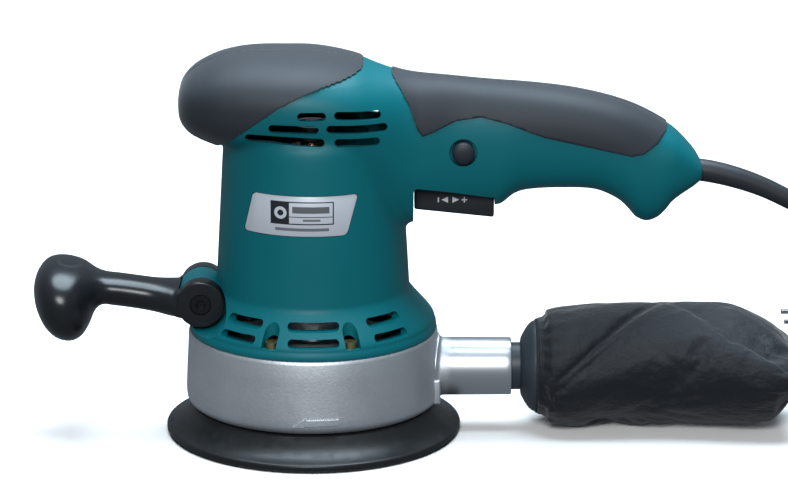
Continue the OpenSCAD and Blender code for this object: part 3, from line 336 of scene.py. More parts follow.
def extrude(obj, step):
    """Fills a loop of edges and extrudes it into a solid."""
    edit_all(obj)
    bpy.ops.mesh.edge_face_add()
    bpy.ops.mesh.extrude_region_move(TRANSFORM_OT_translate={"value": step})
    face_out()
    return obj


def prism(name, points, y0, y1, turn=0.0, bevel=0.0, segments=3):
    """Outline in X and Z, extruded along Y and turned about Z."""
    obj = extrude(outline(name, [(x, y0, z) for x, z in points]), (0, (y1 - y0) * MM, 0))
    if bevel:
        soften_edges(obj, bevel, segments)
    if turn:
        turn_points(obj, turn)
    return obj


def turn_points(obj, angle, axis="Z"):
    """Turns a mesh about one of the world's axes."""
    turn = np.array(Matrix.Rotation(angle, 3, axis))
    place_points(obj, points_of(obj) @ turn.T)


def block(name, low, high, bevel=0.0, segments=3):
    """Box between two corners, with rounded edges."""
    bpy.ops.object.select_all(action="DESELECT")
    bpy.ops.mesh.primitive_cube_add(size=MM)
    obj = named(name)
    low, high = np.array(low, float), np.array(high, float)
    place_points(obj, points_of(obj) * (high - low) + (low + high) / 2)
    if bevel:
        soften_edges(obj, bevel, segments)
    return obj


def rod(name, radius, start, end, vertices=64, bevel=0.0, segments=3):
    """Cylinder between two points."""
    start, end = Vector(start), Vector(end)
    bpy.ops.object.select_all(action="DESELECT")
    bpy.ops.mesh.primitive_cylinder_add(vertices=vertices, radius=radius * MM, depth=(end - start).length * MM)
    obj = named(name)
    if bevel:
        soften_edges(obj, bevel, segments)
    turn = np.array((end - start).to_track_quat("Z", "Y").to_matrix())
    place_points(obj, points_of(obj) @ turn.T + np.array((start + end) / 2))
    return obj


def cross_rod(name, radius, x, z, y0, y1, vertices=64, bevel=0.0, segments=3):
    """Cylinder along Y."""
    return rod(name, radius, (x, y0, z), (x, y1, z), vertices, bevel, segments)


def upright(name, radius, x, y, z0, z1, vertices=64):
    """Cylinder along Z."""
    return rod(name, radius, (x, y, z0), (x, y, z1), vertices)


def on_circle(radius, angle):
    """X and Y of a place on a circle about the motor's axis, from an angle in degrees."""
    a = math.radians(angle)
    return radius * math.cos(a), radius * math.sin(a)


def soften_edges(obj, width, segments=3, angle=30):
    """Rounds the edges that are sharper than an angle."""
    return modify(obj, "BEVEL", width=width * MM, segments=segments, limit_method="ANGLE",
                  angle_limit=math.radians(angle), harden_normals=False, use_clamp_overlap=True)


def modify(obj, kind, **settings):
    """Adds a modifier, and applies it."""
    only(obj)
    modifier = obj.modifiers.new(kind.title(), kind)
    for key, value in settings.items():
        setattr(modifier, key, value)
    bpy.ops.object.modifier_apply(modifier=modifier.name)
    return obj


def combine(obj, other, operation="UNION"):
    """Joins, cuts or trims a closed mesh with another, which is removed."""
    modify(obj, "BOOLEAN", object=other, operation=operation, solver="MANIFOLD")
    if not len(obj.data.polygons):
        raise RuntimeError(f"{obj.name} is empty after {operation} with {other.name}")
    bpy.data.objects.remove(other)
    return obj


def cut(obj, other):
    """Takes another closed mesh out of a mesh."""
    return combine(obj, other, "DIFFERENCE")


def shift(obj, *by):
    """Moves a mesh by millimetres along each axis."""
    place_points(obj, points_of(obj) + np.array(by))


def press_to_section(p, share, mid, weight):
    """Moves points of a section, where weight is 1, to a share of 1 about its middle."""
    scale = 1 + (1 / np.maximum(share, 0.2) - 1) * weight
    p[:, 1] *= scale
    p[:, 2] = mid + (p[:, 2] - mid) * scale


def copy_of(obj, name):
    new = obj.copy()
    new.data = obj.data.copy()
    new.name = new.data.name = name
    bpy.context.collection.objects.link(new)
    return new


def slot_outline(x0, x1, z, height, slope=0.0):
    """Slot with round ends, sloped in degrees about its middle."""
    r = height / 2
    right = [(x1 - r + r * math.sin(a), z - r * math.cos(a)) for a in np.linspace(0, math.pi, 9)]
    left = [(x0 + r - r * math.sin(a), z + r * math.cos(a)) for a in np.linspace(0, math.pi, 9)]
    rise = math.tan(math.radians(slope))
    return [(x, h + rise * (x - (x0 + x1) / 2)) for x, h in right + left]


def rounded_outline(points, radius, steps=5):
    """A convex outline with round corners."""
    out = []
    count = len(points)
    for i in range(count):
        a, b, c = (Vector(points[j % count]) for j in (i - 1, i, i + 1))
        to_a, to_c = (a - b).normalized(), (c - b).normalized()
        half = to_a.angle(to_c) / 2
        reach = min(radius / math.tan(half), (a - b).length * 0.45, (c - b).length * 0.45)
        p, q = b + to_a * reach, b + to_c * reach
        for k in range(steps + 1):
            t = k / steps
            out.append(tuple(p * (1 - t) ** 2 + b * 2 * t * (1 - t) + q * t * t))
    return out


def dress(obj, body, material, nodes=(), angle=38):
    """Gives a finished piece its shading, material, body and CAD nodes."""
    only(obj)
    if obj.type == "MESH":
        bpy.ops.object.shade_smooth_by_angle(angle=math.radians(angle))
    obj.data.materials.clear()
    obj.data.materials.append(material)
    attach(obj, body)
    if nodes:
        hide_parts(*nodes)
    return obj


# --- Materials ------------------------------------------------------------------------------------


class Wire:
    """A node's number output, which sums and products add Math nodes to."""

    def __init__(self, finish, socket):
        self.finish, self.socket = finish, socket

    def math(self, operation, *others, first=None):
        values = [self if first is None else first, *others]
        node = self.finish.node("ShaderNodeMath", dict(enumerate(values)), operation=operation)
        return Wire(self.finish, node.outputs[0])

    def __add__(self, other):
        return self.math("ADD", other)

    def __sub__(self, other):
        return self.math("SUBTRACT", other)

    def __rsub__(self, other):
        return self.math("SUBTRACT", self, first=other)

    def __mul__(self, other):
        return self.math("MULTIPLY", other)

    def __lt__(self, other):
        return self.math("LESS_THAN", other)

    def __gt__(self, other):
        return self.math("GREATER_THAN", other)

    def __abs__(self):
        return self.math("ABSOLUTE")

    __radd__ = __add__
    __rmul__ = __mul__

    def sine(self):
        return self.math("SINE")

    def largest(self, other):
        return self.math("MAXIMUM", other)

    def step(self, low, high):
        """0 at low, 1 at high, smooth between."""
        node = self.finish.node("ShaderNodeMapRange", {"Value": self, "From Min": low, "From Max": high},
                                interpolation_type="SMOOTHSTEP")
        return Wire(self.finish, node.outputs[0])


class Finish:
    """A material on the Principled shader."""

    def __init__(self, name, colour, roughness=0.5, **constants):
        self.material = bpy.data.materials.new(name)
        self.material.use_nodes = True
        self.tree = self.material.node_tree
        self.shader = next(n for n in self.tree.nodes if n.type == "BSDF_PRINCIPLED")
        self.set("Base Color", (*colour[:3], 1))
        self.set("Roughness", roughness)
        self.set("Specular IOR Level", 0.35)
        for key, value in constants.items():
            self.set(key.replace("_", " "), value)
        self._place = None

    def node(self, kind, values=None, **settings):
        """A new node of a type, with its settings, then the values or links of its inputs."""
        node = self.tree.nodes.new(kind)
        for key, value in settings.items():
            setattr(node, key, value)
        for key, value in (values or {}).items():
            self.feed(node.inputs[key], value)
        return node

    def feed(self, socket, value):
        if isinstance(value, Wire):
            self.tree.links.new(value.socket, socket)
        elif isinstance(value, bpy.types.NodeSocket):
            self.tree.links.new(value, socket)
        else:
            socket.default_value = value

    def set(self, name, value):
        """Sets or links one of the shader's inputs."""
        self.feed(self.shader.inputs[name], value)
        return self

    @property
    def place(self):
        """Object coordinates."""
        if self._place is None:
            self._place = self.node("ShaderNodeTexCoord").outputs["Object"]
        return self._place

    def axes(self, vector=None):
        """The three parts of a vector, in millimetres for object coordinates."""
        node = self.node("ShaderNodeSeparateXYZ", {"Vector": self.place if vector is None else vector})
        parts = [Wire(self, node.outputs[i]) for i in range(3)]
        return parts if vector is not None else [p * 1000 for p in parts]

    def stretched(self, *scale):
        """Object coordinates with each axis scaled."""
        node = self.node("ShaderNodeMapping", {"Vector": self.place, "Scale": scale})
        return node.outputs[0]

    def noise(self, scale, detail=3.0, vector=None, roughness=0.5):
        node = self.node("ShaderNodeTexNoise", {
            "Vector": self.place if vector is None else vector,
            "Scale": scale, "Detail": detail, "Roughness": roughness,
        })
        return Wire(self, node.outputs[0])

    def cells(self, scale):
        node = self.node("ShaderNodeTexVoronoi", {"Vector": self.place, "Scale": scale})
        return Wire(self, node.outputs["Distance"])

    def mix(self, first, second, share):
        """Colour between two colours."""
        node = self.node("ShaderNodeMix", {0: share, 6: self._colour(first), 7: self._colour(second)}, data_type="RGBA")
        return node.outputs[2]

    def _colour(self, value):
        return value if isinstance(value, bpy.types.NodeSocket) else (*value[:3], 1)

    def bump(self, height, distance, strength=1.0, base=None):
        """Relief of a height in shares of a distance in millimetres."""
        values = {"Height": height, "Distance": distance * MM, "Strength": strength}
        if base is not None:
            values["Normal"] = base
        return self.node("ShaderNodeBump", values).outputs[0]


def shade(colour, factor):
    return tuple(c * factor for c in colour[:3])


def moulded(name, colour, roughness, grain=2600, depth=0.03, mottling=0.08, **constants):
    """Moulded plastic or rubber with a fine spark-eroded grain."""
    f = Finish(name, colour, roughness, **constants)
    cloud = f.noise(28, 3)
    fine = f.noise(grain, 2)
    f.set("Base Color", f.mix(shade(colour, 1 - mottling), shade(colour, 1 + mottling), cloud))
    f.set("Roughness", cloud * 0.12 + fine * 0.06 + (roughness - 0.09))
    f.set("Normal", f.bump(fine, depth))
    return f


def metal(name, colour, roughness, grain=1400, depth=0.01, **constants):
    """Plain machined or rolled metal."""
    f = Finish(name, colour, roughness, Metallic=1.0, **constants)
    cloud = f.noise(60, 4)
    fine = f.noise(grain, 2, vector=f.stretched(1, 1, 0.25))
    f.set("Base Color", f.mix(shade(colour, 0.86), shade(colour, 1.08), cloud))
    f.set("Roughness", cloud * 0.2 + fine * 0.1 + (roughness - 0.15))
    f.set("Normal", f.bump(fine, depth))
    return f


def teal_finish(c):
    return moulded("teal_plastic", c.teal, 0.46, depth=0.035, mottling=0.05, Specular_IOR_Level=0.22)


def rubber_finish(c):
    return moulded("rubber_grip", c.rubber, 0.6, grain=3200, depth=0.04, mottling=0.1,
                   Sheen_Weight=0.12, Sheen_Roughness=0.45)


def handle_finish(c):
    """Glossy black plastic with a seam along its upper side."""
    f = Finish("black_plastic", c.black, 0.27)
    cloud, fine = f.noise(22, 3), f.noise(1800, 2)
    turned_place = f.node("ShaderNodeMapping", {
        "Vector": f.place, "Location": (-CLAMP_X * MM, 0, -CLAMP_Z * MM)}).outputs[0]
    level = f.node("ShaderNodeMapping", {"Vector": turned_place, "Rotation": (0, -ARM_TILT, 0)}).outputs[0]
    x, _, z = f.axes(level)
    seam = (abs(z * 1000 - 5.6) < 0.16) * (x * 1000 < -19)
    plain = f.mix(shade(c.black, 0.85), shade(c.black, 1.25), cloud)
    f.set("Base Color", f.mix(plain, shade(c.black, 0.2), seam * 0.7))
    f.set("Roughness", cloud * 0.12 + fine * 0.04 + 0.2 + seam * 0.3)
    f.set("Normal", f.bump(fine * 0.25 + (1 - seam), 0.05))
    return f


def casting_finish(c):
    """Silver painted casting: fine orange skin, and a brighter machined nozzle."""
    f = Finish("cast_silver", c.silver, 0.42, Metallic=0.9)
    nozzle = f.axes()[0].step(67, 71)
    cast, cloud = f.noise(700, 5, roughness=0.7), f.noise(35, 4, roughness=0.6)
    pits = f.cells(420).step(0.05, 0.22)
    turning = f.noise(1, 3, vector=f.stretched(9000, 40, 40))
    colour = f.mix(shade(c.silver, 0.78), shade(c.silver, 1.14), cloud * 0.5 + cast * 0.5)
    f.set("Base Color", f.mix(colour, shade(c.silver, 0.86), nozzle))
    f.set("Roughness", (cloud * 0.12 + cast * 0.12 + 0.36) * (1 - nozzle) + nozzle * (turning * 0.1 + 0.3))
    f.set("Normal", f.bump((cast * 0.7 + pits * 0.3) * (1 - nozzle) + turning * 0.05 * nozzle, 0.13))
    return f


def label_finish(c):
    """Satin label with a plain printed panel: a dark square with a ring, and two blank bars."""
    f = Finish("label", c.label, 0.34, Metallic=0.25)
    x, _, z = f.axes()
    u = x + 6.3
    v = z - LABEL_Z

    def bar(x0, x1, z0, z1):
        return (u > x0) * (u < x1) * (v > z0) * (v < z1)

    panel = bar(-13.6, 17.8, -4.2, 7.4)
    inside = bar(-13.0, 17.2, -3.6, 6.8)
    square = bar(-13.0, -4.4, -3.6, 6.8)
    middle = ((u + 8.7) * (u + 8.7) + (v - 1.6) * (v - 1.6)).math("SQRT")
    ring = (middle < 3.1) * (middle > 1.5)
    rule = bar(-4.4, 17.2, -0.5, -0.1)
    wide = bar(-2.8, 15.6, 1.6, 4.9)
    thin = bar(2.4, 11.2, -2.4, -1.4)
    foot = bar(-11.4, 15.4, -7.4, -5.9)
    dark = (panel - inside).largest(square * (1 - ring)).largest(rule).largest(wide * 0.85)
    dark = dark.largest(thin * 0.8).largest(foot * 0.75)
    cloud, fine = f.noise(60, 3), f.noise(2500, 2)
    plain = f.mix(shade(c.label, 0.93), shade(c.label, 1.04), cloud)
    f.set("Base Color", f.mix(plain, (0.012, 0.014, 0.018), dark))
    f.set("Metallic", (1 - dark) * 0.25)
    f.set("Roughness", cloud * 0.1 + 0.28 + dark * 0.06)
    f.set("Normal", f.bump(fine * 0.3 + dark * 0.5, 0.02))
    return f


def trigger_finish(c):
    """Dark fine-grained plastic with small white marks beside the dial."""
    f = Finish("trigger_plastic", c.trigger, 0.45)
    x, y, z = f.axes()
    u, v = x - 69.4, z - 122.6
    side = (y < -9.4) * 1.0

    def arrow(sign, at):
        along = (u - at) * sign
        return (along > 0) * (along < 3.4) * (abs(v) < (3.4 - along) * 0.47)

    minus = (abs(u + 5.9) < 0.35) * (abs(v) < 1.3)
    plus = ((abs(u - 7.2) < 1.4) * (abs(v) < 0.33)).largest((abs(u - 7.2) < 0.33) * (abs(v) < 1.4))
    marks = arrow(-1, -1.0).largest(arrow(1, 1.2)).largest(minus).largest(plus) * side
    cloud, fine = f.noise(30, 3), f.noise(2400, 2)
    plain = f.mix(shade(c.trigger, 0.85), shade(c.trigger, 1.2), cloud)
    f.set("Base Color", f.mix(plain, (0.5, 0.52, 0.53), marks))
    f.set("Roughness", cloud * 0.1 + 0.38 + marks * 0.1)
    f.set("Normal", f.bump(fine * 0.6 + marks, 0.04))
    return f


def pad_finish(c):
    """Moulded urethane: semi-gloss skin with a fine grain and scuffs."""
    f = Finish("pad_foam", c.pad, 0.4)
    cloud, fine, scuff = f.noise(18, 4), f.noise(1500, 3), f.noise(160, 5, roughness=0.7)
    f.set("Base Color", f.mix(shade(c.pad, 0.8), shade(c.pad, 1.5), cloud * scuff))
    f.set("Roughness", cloud * 0.12 + scuff.step(0.45, 0.75) * 0.16 + 0.28)
    f.set("Normal", f.bump(fine * 0.6 + scuff * 0.4, 0.05))
    return f


def hook_finish(c):
    """Dense hooks on a woven ground."""
    f = Finish("hook_fabric", shade(c.pad, 2.2), 0.85)
    hooks = f.cells(900)
    f.set("Base Color", f.mix(shade(c.pad, 3.0), shade(c.pad, 0.8), hooks))
    f.set("Normal", f.bump(1 - hooks, 0.5))
    return f


def bag_finish(c):
    """Black woven nylon with a double row of stitching near its seams."""
    f = Finish("bag_fabric", c.bag, 0.62)
    uv = f.node("ShaderNodeUVMap", uv_map="UVMap").outputs[0]
    u, v, _ = f.axes(uv)
    warp = (u * 2 * math.pi * 230).sine()
    weft = (v * 2 * math.pi * 170).sine()
    weave = warp * weft * 0.5 + 0.5
    cloud, wrinkle = f.noise(45, 4), f.noise(110, 5, roughness=0.6)
    stitch_row = (abs(v - 0.955) < 0.004).largest(abs(v - 0.975) < 0.004)
    stitches = stitch_row * ((u * 2 * math.pi * 60).sine() > -0.3)
    colour = f.mix(shade(c.bag, 0.7), shade(c.bag, 1.5), cloud * 0.6 + weave * 0.4)
    f.set("Base Color", f.mix(colour, shade(c.bag, 3.2), stitches))
    f.set("Roughness", cloud * 0.16 + weave * 0.1 + 0.48)
    fold = f.bump(wrinkle, 2.2, 0.7)
    f.set("Normal", f.bump(weave + stitches * 1.5, 0.06, base=fold))
    f.set("Sheen Weight", 0.25)
    f.set("Sheen Roughness", 0.4)
    return f


def cord_finish(c):
    """Soft black lead jacket with a faint waxy bloom."""
    f = Finish("cord_rubber", c.cord, 0.48)
    cloud, fine = f.noise(40, 4), f.noise(1500, 3)
    f.set("Base Color", f.mix(shade(c.cord, 0.8), shade(c.cord, 1.5), cloud))
    f.set("Roughness", cloud * 0.16 + 0.38)
    f.set("Normal", f.bump(fine, 0.04))
    return f


def strap_finish(c):
    """Woven strap."""
    f = Finish("coil_tie", shade(c.black, 1.6), 0.8)
    x, y, z = f.axes()
    rib = ((x + y + z) * 4.5).sine() * ((x - y + z) * 4.5).sine()
    f.set("Base Color", f.mix(shade(c.black, 1.0), shade(c.black, 3.0), rib * 0.5 + 0.5))
    f.set("Normal", f.bump(rib, 0.15))
    return f


def laminated(name, colour):
    """Stack of thin sheets along Z."""
    f = Finish(name, colour, 0.42, Metallic=0.9)
    _, _, z = f.axes()
    sheets = (z * (2 * math.pi / 0.7)).sine()
    rust = f.noise(120, 5, roughness=0.7).step(0.56, 0.75)
    plain = f.mix(shade(colour, 0.6), shade(colour, 1.2), sheets * 0.5 + 0.5)
    f.set("Base Color", f.mix(plain, (0.14, 0.07, 0.04), rust * 0.5))
    f.set("Roughness", rust * 0.3 + 0.38)
    f.set("Normal", f.bump(sheets, 0.12))
    return f


def winding(name, colour):
    """Lacquered copper wire."""
    f = Finish(name, colour, 0.3, Metallic=0.85, Coat_Weight=0.6, Coat_Roughness=0.12)
    x, y, z = f.axes()
    strands = ((x + y + z * 0.35) * (2 * math.pi / 0.9)).sine()
    f.set("Base Color", f.mix(shade(colour, 0.5), shade(colour, 1.1), strands * 0.5 + 0.5))
    f.set("Normal", f.bump(strands, 0.25))
    return f


def circuit_finish(name):
    """Green board with pale tracks."""
    f = Finish(name, (0.01, 0.09, 0.04), 0.35)
    tracks = (f.cells(260) > 0.42) * 1.0
    f.set("Base Color", f.mix((0.01, 0.07, 0.03), (0.03, 0.2, 0.09), tracks))
    f.set("Normal", f.bump(tracks, 0.03))
    return f


# --- User properties ---------------------------------------------------------------------------------


def colour_property(name, description, default):
    return FloatVectorProperty(
        name=name, description=description, subtype="COLOR", size=3, min=0, max=1, default=default)


def length_property(name, description, millimetres):
    return FloatProperty(
        name=name, description=description, unit="LENGTH", subtype="DISTANCE", default=millimetres * MM)


class SanderColours(PropertyGroup):
    """Colours of the finishes."""

    teal: colour_property("Shell", "Colour of the moulded shells", (0.0, 0.112, 0.133))
    rubber: colour_property("Grips", "Colour of the rubber grips", (0.014, 0.018, 0.024))
    black: colour_property("Handle", "Colour of the front handle", (0.009, 0.010, 0.012))
    trigger: colour_property("Trigger", "Colour of the trigger", (0.010, 0.012, 0.015))
    silver: colour_property("Casting", "Colour of the base casting", (0.60, 0.62, 0.65))
    label: colour_property("Label", "Colour of the label", (0.56, 0.59, 0.64))
    pad: colour_property("Pad", "Colour of the pad", (0.010, 0.011, 0.012))
    bag: colour_property("Bag", "Colour of the dust bag", (0.004, 0.0055, 0.009))
    cord: colour_property("Lead", "Colour of the mains lead", (0.016, 0.018, 0.022))
    collar: colour_property("Collar", "Colour of the bag's collar", (0.030, 0.038, 0.048))
    floor: colour_property("Floor", "Colour of the floor", (0.95, 0.92, 0.89))


class SanderSizes(PropertyGroup):
    """Sizes that change how the pieces look."""

    grain: length_property("Mesh grain", "Size of the cells that the shells are rebuilt with", 1.1)
    grip_proud: length_property("Grip height", "Height of the rubber grips above the shell", 0.8)
    split: length_property("Split", "Gap between the two shells", 0.12)
    nozzle_fillet: length_property("Nozzle fillet", "Radius where the nozzle meets the skirt", 2.2)
    cord_diameter: length_property("Lead diameter", "Diameter of the mains lead", 8.0)
    pleats: IntProperty(name="Pleats", description="Gathers in the bag behind its collar", default=22, min=8, max=40)
    pressure: FloatProperty(name="Bag pressure", description="Air pressure that fills the bag", default=4.0, min=0, max=20)


def colours():
    return bpy.context.scene.sander_colours


def sizes():
    return bpy.context.scene.sander_sizes


_finishes = {}


def finish(name, make):
    """A finished material, made the first time it is asked for."""
    if name not in _finishes:
        _finishes[name] = make().material
    return _finishes[name]


# --- Operators --------------------------------------------------------------------------------------------


class SANDER_OT_stage(Operator):
    """Floor, soft lights and the camera"""

    bl_idname = "sander.stage"
    bl_label = "Stage"

    def execute(self, context):
        scene = context.scene
        scene.view_settings.view_transform = "Standard"
        bpy.ops.object.select_all(action="DESELECT")
        bpy.ops.mesh.primitive_plane_add(size=12, location=(0, 2, 0))
        floor = named("studio_floor")
        floor.data.transform(Matrix.Translation(floor.location))
        floor.location = (0, 0, 0)
        f = Finish("studio_floor", colours().floor, 0.75)
        floor.data.materials.append(f.material)
        floor.visible_diffuse = floor.visible_glossy = False
        world = scene.world or bpy.data.worlds.new("World")
        scene.world = world
        world.use_nodes = True
        background = world.node_tree.nodes["Background"]
        background.inputs["Color"].default_value = (0.78, 0.89, 1.0, 1)
        background.inputs["Strength"].default_value = 0.25
        self.softbox("key_light", (-0.1, -1.9, 1.2), 0.8, 36, (0.95, 0.98, 1))
        self.softbox("top_light", (0.1, 0.25, 1.6), 1.4, 62, (0.74, 0.89, 1))
        rise = math.radians(15.85)
        target = Vector((41.2, 0, 92.95)) * MM
        bpy.ops.object.camera_add(
            location=target + 2.0 * Vector((0, -math.cos(rise), math.sin(rise))),
            rotation=(math.pi / 2 - rise, 0, 0),
        )
        camera = named("camera")
        camera.data.sensor_width = 36
        camera.data.lens = 180.06
        camera.data.clip_end = 50
        scene.camera = camera
        return {"FINISHED"}

    @staticmethod
    def softbox(name, location, size, power, colour):
        aim = Vector((60, 0, 90)) * MM - Vector(location)
        bpy.ops.object.light_add(type="AREA", location=location, rotation=aim.to_track_quat("-Z", "Y").to_euler())
        light = named(name)
        light.data.shape = "DISK"
        light.data.size = size
        light.data.energy = power
        light.data.color = colour


def coil_route():
    """Centre line of the wound lead: three turns on the floor, three on top, and the end laid across them."""
    points = []
    for k in range(6 * 36 + 1):
        turn, share = (5, 1.0) if k == 216 else (k // 36, (k % 36) / 36)
        shift = float(ease(share, 0.5, 1.0))
        radius = (52, 44, 36, 36, 44, 52)[turn] + (-8, -8, 0, 8, 8, 0)[turn] * shift
        z = 5 if turn < 3 else 13
        if turn == 2:
            z += 8 * shift
            radius -= 3 * math.sin(math.pi * shift)
        if turn == 5:
            climb = float(ease(share, 0.62, 1.0))
            radius = 44 + 8 * shift + 8 * math.sqrt(max(0, 1 - climb**2))
            z += 8 * climb
        a = 2 * math.pi * share
        points.append((COIL_MID[0] + radius * math.cos(a), COIL_MID[1] + radius * math.sin(a), z))
    for k in range(1, 10):
        a = k * math.pi / 18
        points.append((TAIL_MID[0] + 36 * math.cos(a), TAIL_MID[1] + 36 * math.sin(a), 21 + 3.5 * k / 9))
    return points + [PLUG]


def smooth_route(points, step):
    """Points every step along a smooth curve through the given ones."""
    p = np.asarray(points, float)
    reach = np.concatenate([[0], np.cumsum(np.linalg.norm(np.diff(p, axis=0), axis=1))])
    places = np.linspace(0, reach[-1], max(2, int(reach[-1] / step)) + 1)
    return np.stack([smooth_value(np.stack([reach, p[:, i]], axis=1), places) for i in range(3)], axis=1)


def tube_rings(route, radii, sides):
    """Rings about a route, each with its radius."""
    route = np.asarray(route, float)
    rings = []
    for i, centre in enumerate(route):
        t = route[min(i + 1, len(route) - 1)] - route[max(i - 1, 0)]
        t /= np.linalg.norm(t)
        u = np.cross([0, 0, 1], t)
        u /= np.linalg.norm(u)
        v = np.cross(t, u)
        a = np.arange(sides) * 2 * math.pi / sides
        rings.append(centre + radii[i] * (np.outer(np.cos(a), u) + np.outer(np.sin(a), v)))
    return rings


class SANDER_OT_lead(Operator):
    """Mains lead with its strain relief, coil, strap and plug"""

    bl_idname = "sander.lead"
    bl_label = "Mains lead"

    def execute(self, context):
        c = colours()
        rubber = finish("cord_rubber", lambda: cord_finish(c))
        route = smooth_route(LEAD + coil_route(), 5.0)
        bpy.ops.object.select_all(action="DESELECT")
        data = bpy.data.curves.new("mains_lead", "CURVE")
        data.dimensions = "3D"
        spline = data.splines.new("POLY")
        spline.points.add(len(route) - 1)
        for point, at in zip(spline.points, route * MM):
            point.co = (*at, 1)
        data.bevel_depth = sizes().cord_diameter / 2
        data.bevel_resolution = 5
        data.use_fill_caps = True
        lead = bpy.data.objects.new("mains_lead", data)
        context.collection.objects.link(lead)
        dress(lead, "tool", rubber, ["cord_lead", "cord_coil"])
        self.relief(rubber)
        plug = self.plug(c)
        strap = self.strap(c)
        return {"FINISHED"}

    @staticmethod
    def relief(rubber):
        """Tapered sleeve with a flange inside the handle."""
        route = smooth_route(RELIEF, 1.0)
        share = np.linspace(0, 1, len(route))
        radii = 5.7 - 0.9 * ease(share, 0.2, 1.0)
        radii[-1] = 4.4
        sleeve = loft("strain_relief_sleeve", tube_rings(route, radii, 32))
        combine(sleeve, rod("flange", 7.4, (179, 0, EXIT_Z), (183.4, 0, EXIT_Z), bevel=0.6))
        return dress(sleeve, "tool", rubber, ["strain_relief"])

    @staticmethod
    def plug(c):
        """Flat moulded plug with a ribbed neck."""
        shape = [(-6, 13), (6, 13), (14.8, 23), (17.5, 29), (17.5, 48), (-17.5, 48), (-17.5, 29), (-14.8, 23)]
        body = outline("plug_moulding", [(x, y, -7) for x, y in rounded_outline(shape, 3)])
        extrude(body, (0, 0, 14 * MM))
        soften_edges(body, 2.6, 4, angle=50)
        neck = [(0, 0), (4.9, 0), (5.1, 2.2), (4.6, 2.8), (4.6, 3.8), (5.4, 4.4), (5.5, 6.2), (4.9, 6.8),
                (4.9, 7.8), (5.9, 8.4), (6, 10.2), (5.4, 10.8), (5.4, 12), (6.3, 13), (6.4, 17), (0, 17)]
        combine(body, turned("neck", neck, 40, axis="Y"))
        turn_points(body, math.pi / 2)
        shift(body, *PLUG)
        skin = finish("plug", lambda: moulded("plug_plastic", c.cord, 0.4))
        return dress(body, "tool", skin, ["plug_body"])

    @staticmethod
    def strap(c):
        """Woven strap round the coil."""
        turn = math.radians(215)
        inner = [(-13.2, -8), (13.2, -8), (13.2, 8), (-13.2, 8)]
        points = rounded_outline([(x + 44, z + 9) for x, z in inner], 4)
        hole = rounded_outline([(x * 0.935 + 44, z * 0.885 + 9) for x, z in inner], 3.4)
        band = prism("coil_strap", points, -6, 6)
        cut(band, prism("hole", hole, -8, 8))
        soften_edges(band, 0.3, 2)
        turn_points(band, turn)
        shift(band, *COIL_MID, 0)
        return dress(band, "tool", finish("strap", lambda: strap_finish(c)), ["coil_tie"])


def form_distance(p, grow=0.0):
    """Rough distance of points outside the form, and their section's share."""
    mid, rise, half = form_section(np.clip(p[:, 0], -66.2, 196))
    rise, half = np.maximum(rise + grow, 0.6), np.maximum(half + grow, 0.6)
    share = (np.abs(p[:, 1] / half) ** 2.5 + np.abs((p[:, 2] - mid) / rise) ** 2.5) ** 0.4
    return (share - 1) * np.minimum(half, rise), share, mid


def barrel_distance(p):
    return np.hypot(p[:, 0], p[:, 1]) - barrel_radius(p[:, 2])


def rest_on_form(obj, grow, reach=1.2):
    """Moves points that lie near the form's surface onto it."""
    p = points_of(obj)
    away, share, mid = form_distance(p, grow)
    weight = (np.abs(away) < reach) * ease(p[:, 0], -60, -52) * (1 - ease(p[:, 0], 184, 190))
    press_to_section(p, share, mid, weight)
    place_points(obj, p)


def body_shape(grain):
    """Head, handle and barrel in one skin, blended where they meet."""
    body = loft("shell_body", form_rings(0, form_places(2.0), 72))
    barrel = [(0, 68), (barrel_radius(68), 68), (BARREL_TOP_R, BARREL_TOP), (BARREL_TOP_R - 4, BARREL_TOP + 4),
              (0, BARREL_TOP + 4)]
    combine(body, turned("barrel", barrel, 128))
    modify(body, "REMESH", mode="VOXEL", voxel_size=grain * MM, adaptivity=0)
    modify(body, "SMOOTH", factor=0.5, iterations=8)
    p = points_of(body)
    near_form, near_barrel = np.abs(form_distance(p)[0]), np.abs(barrel_distance(p))
    group = body.vertex_groups.new(name="blend")
    meeting = (1 - ease(near_form, 4, 9)) * (1 - ease(near_barrel, 4, 9)) * (p[:, 2] < BARREL_TOP + 30)
    for level in range(1, 11):
        chosen = np.nonzero(np.round(meeting * 10) == level)[0]
        group.add(chosen.tolist(), level / 10, "REPLACE")
    modify(body, "SMOOTH", factor=0.5, iterations=46, vertex_group="blend")
    p = points_of(body)
    away, share, mid = form_distance(p)
    beside = barrel_distance(p)
    middle = ease(p[:, 0], -60, -52) * (1 - ease(p[:, 0], 182, 189))
    on_form = (np.abs(away) < 1.6) * ease(np.abs(beside), 4, 11) * middle
    press_to_section(p, share, mid, on_form)
    on_barrel = (np.abs(beside) < 1.6) * (p[:, 2] > 69) * ease(away, 4, 11)
    radius = np.hypot(p[:, 0], p[:, 1])
    scale = 1 - on_barrel * beside / np.maximum(radius, 1)
    p[:, 0] *= scale
    p[:, 1] *= scale
    place_points(body, p)
    body.vertex_groups.clear()
    modify(body, "SMOOTH", factor=0.5, iterations=3)
    return body


def flare_profile():
    """Lip and concave flare below the barrel."""
    curve = [(57.4, 62.1), (59.6, 61.7), (61.8, 60.3), (66, 56.7), (70, 53.2), (73.8, 50.2), (75.6, 49.25),
             (77.4, 48.9), (82, 48.7)]
    heights = np.linspace(57.4, 82, 34)
    return [(float(smooth_value(curve, z)), float(z)) for z in heights]


def grip_cutter(name, edge, grow_in, y0=-70, y1=70):
    """The zone of a grip outside the form's inner skin."""
    zone = prism(name, [(x, HEAD_TOP - d) for x, d in edge], y0, y1)
    return cut(zone, loft("inner", form_rings(grow_in, form_places(4.0), 48)))


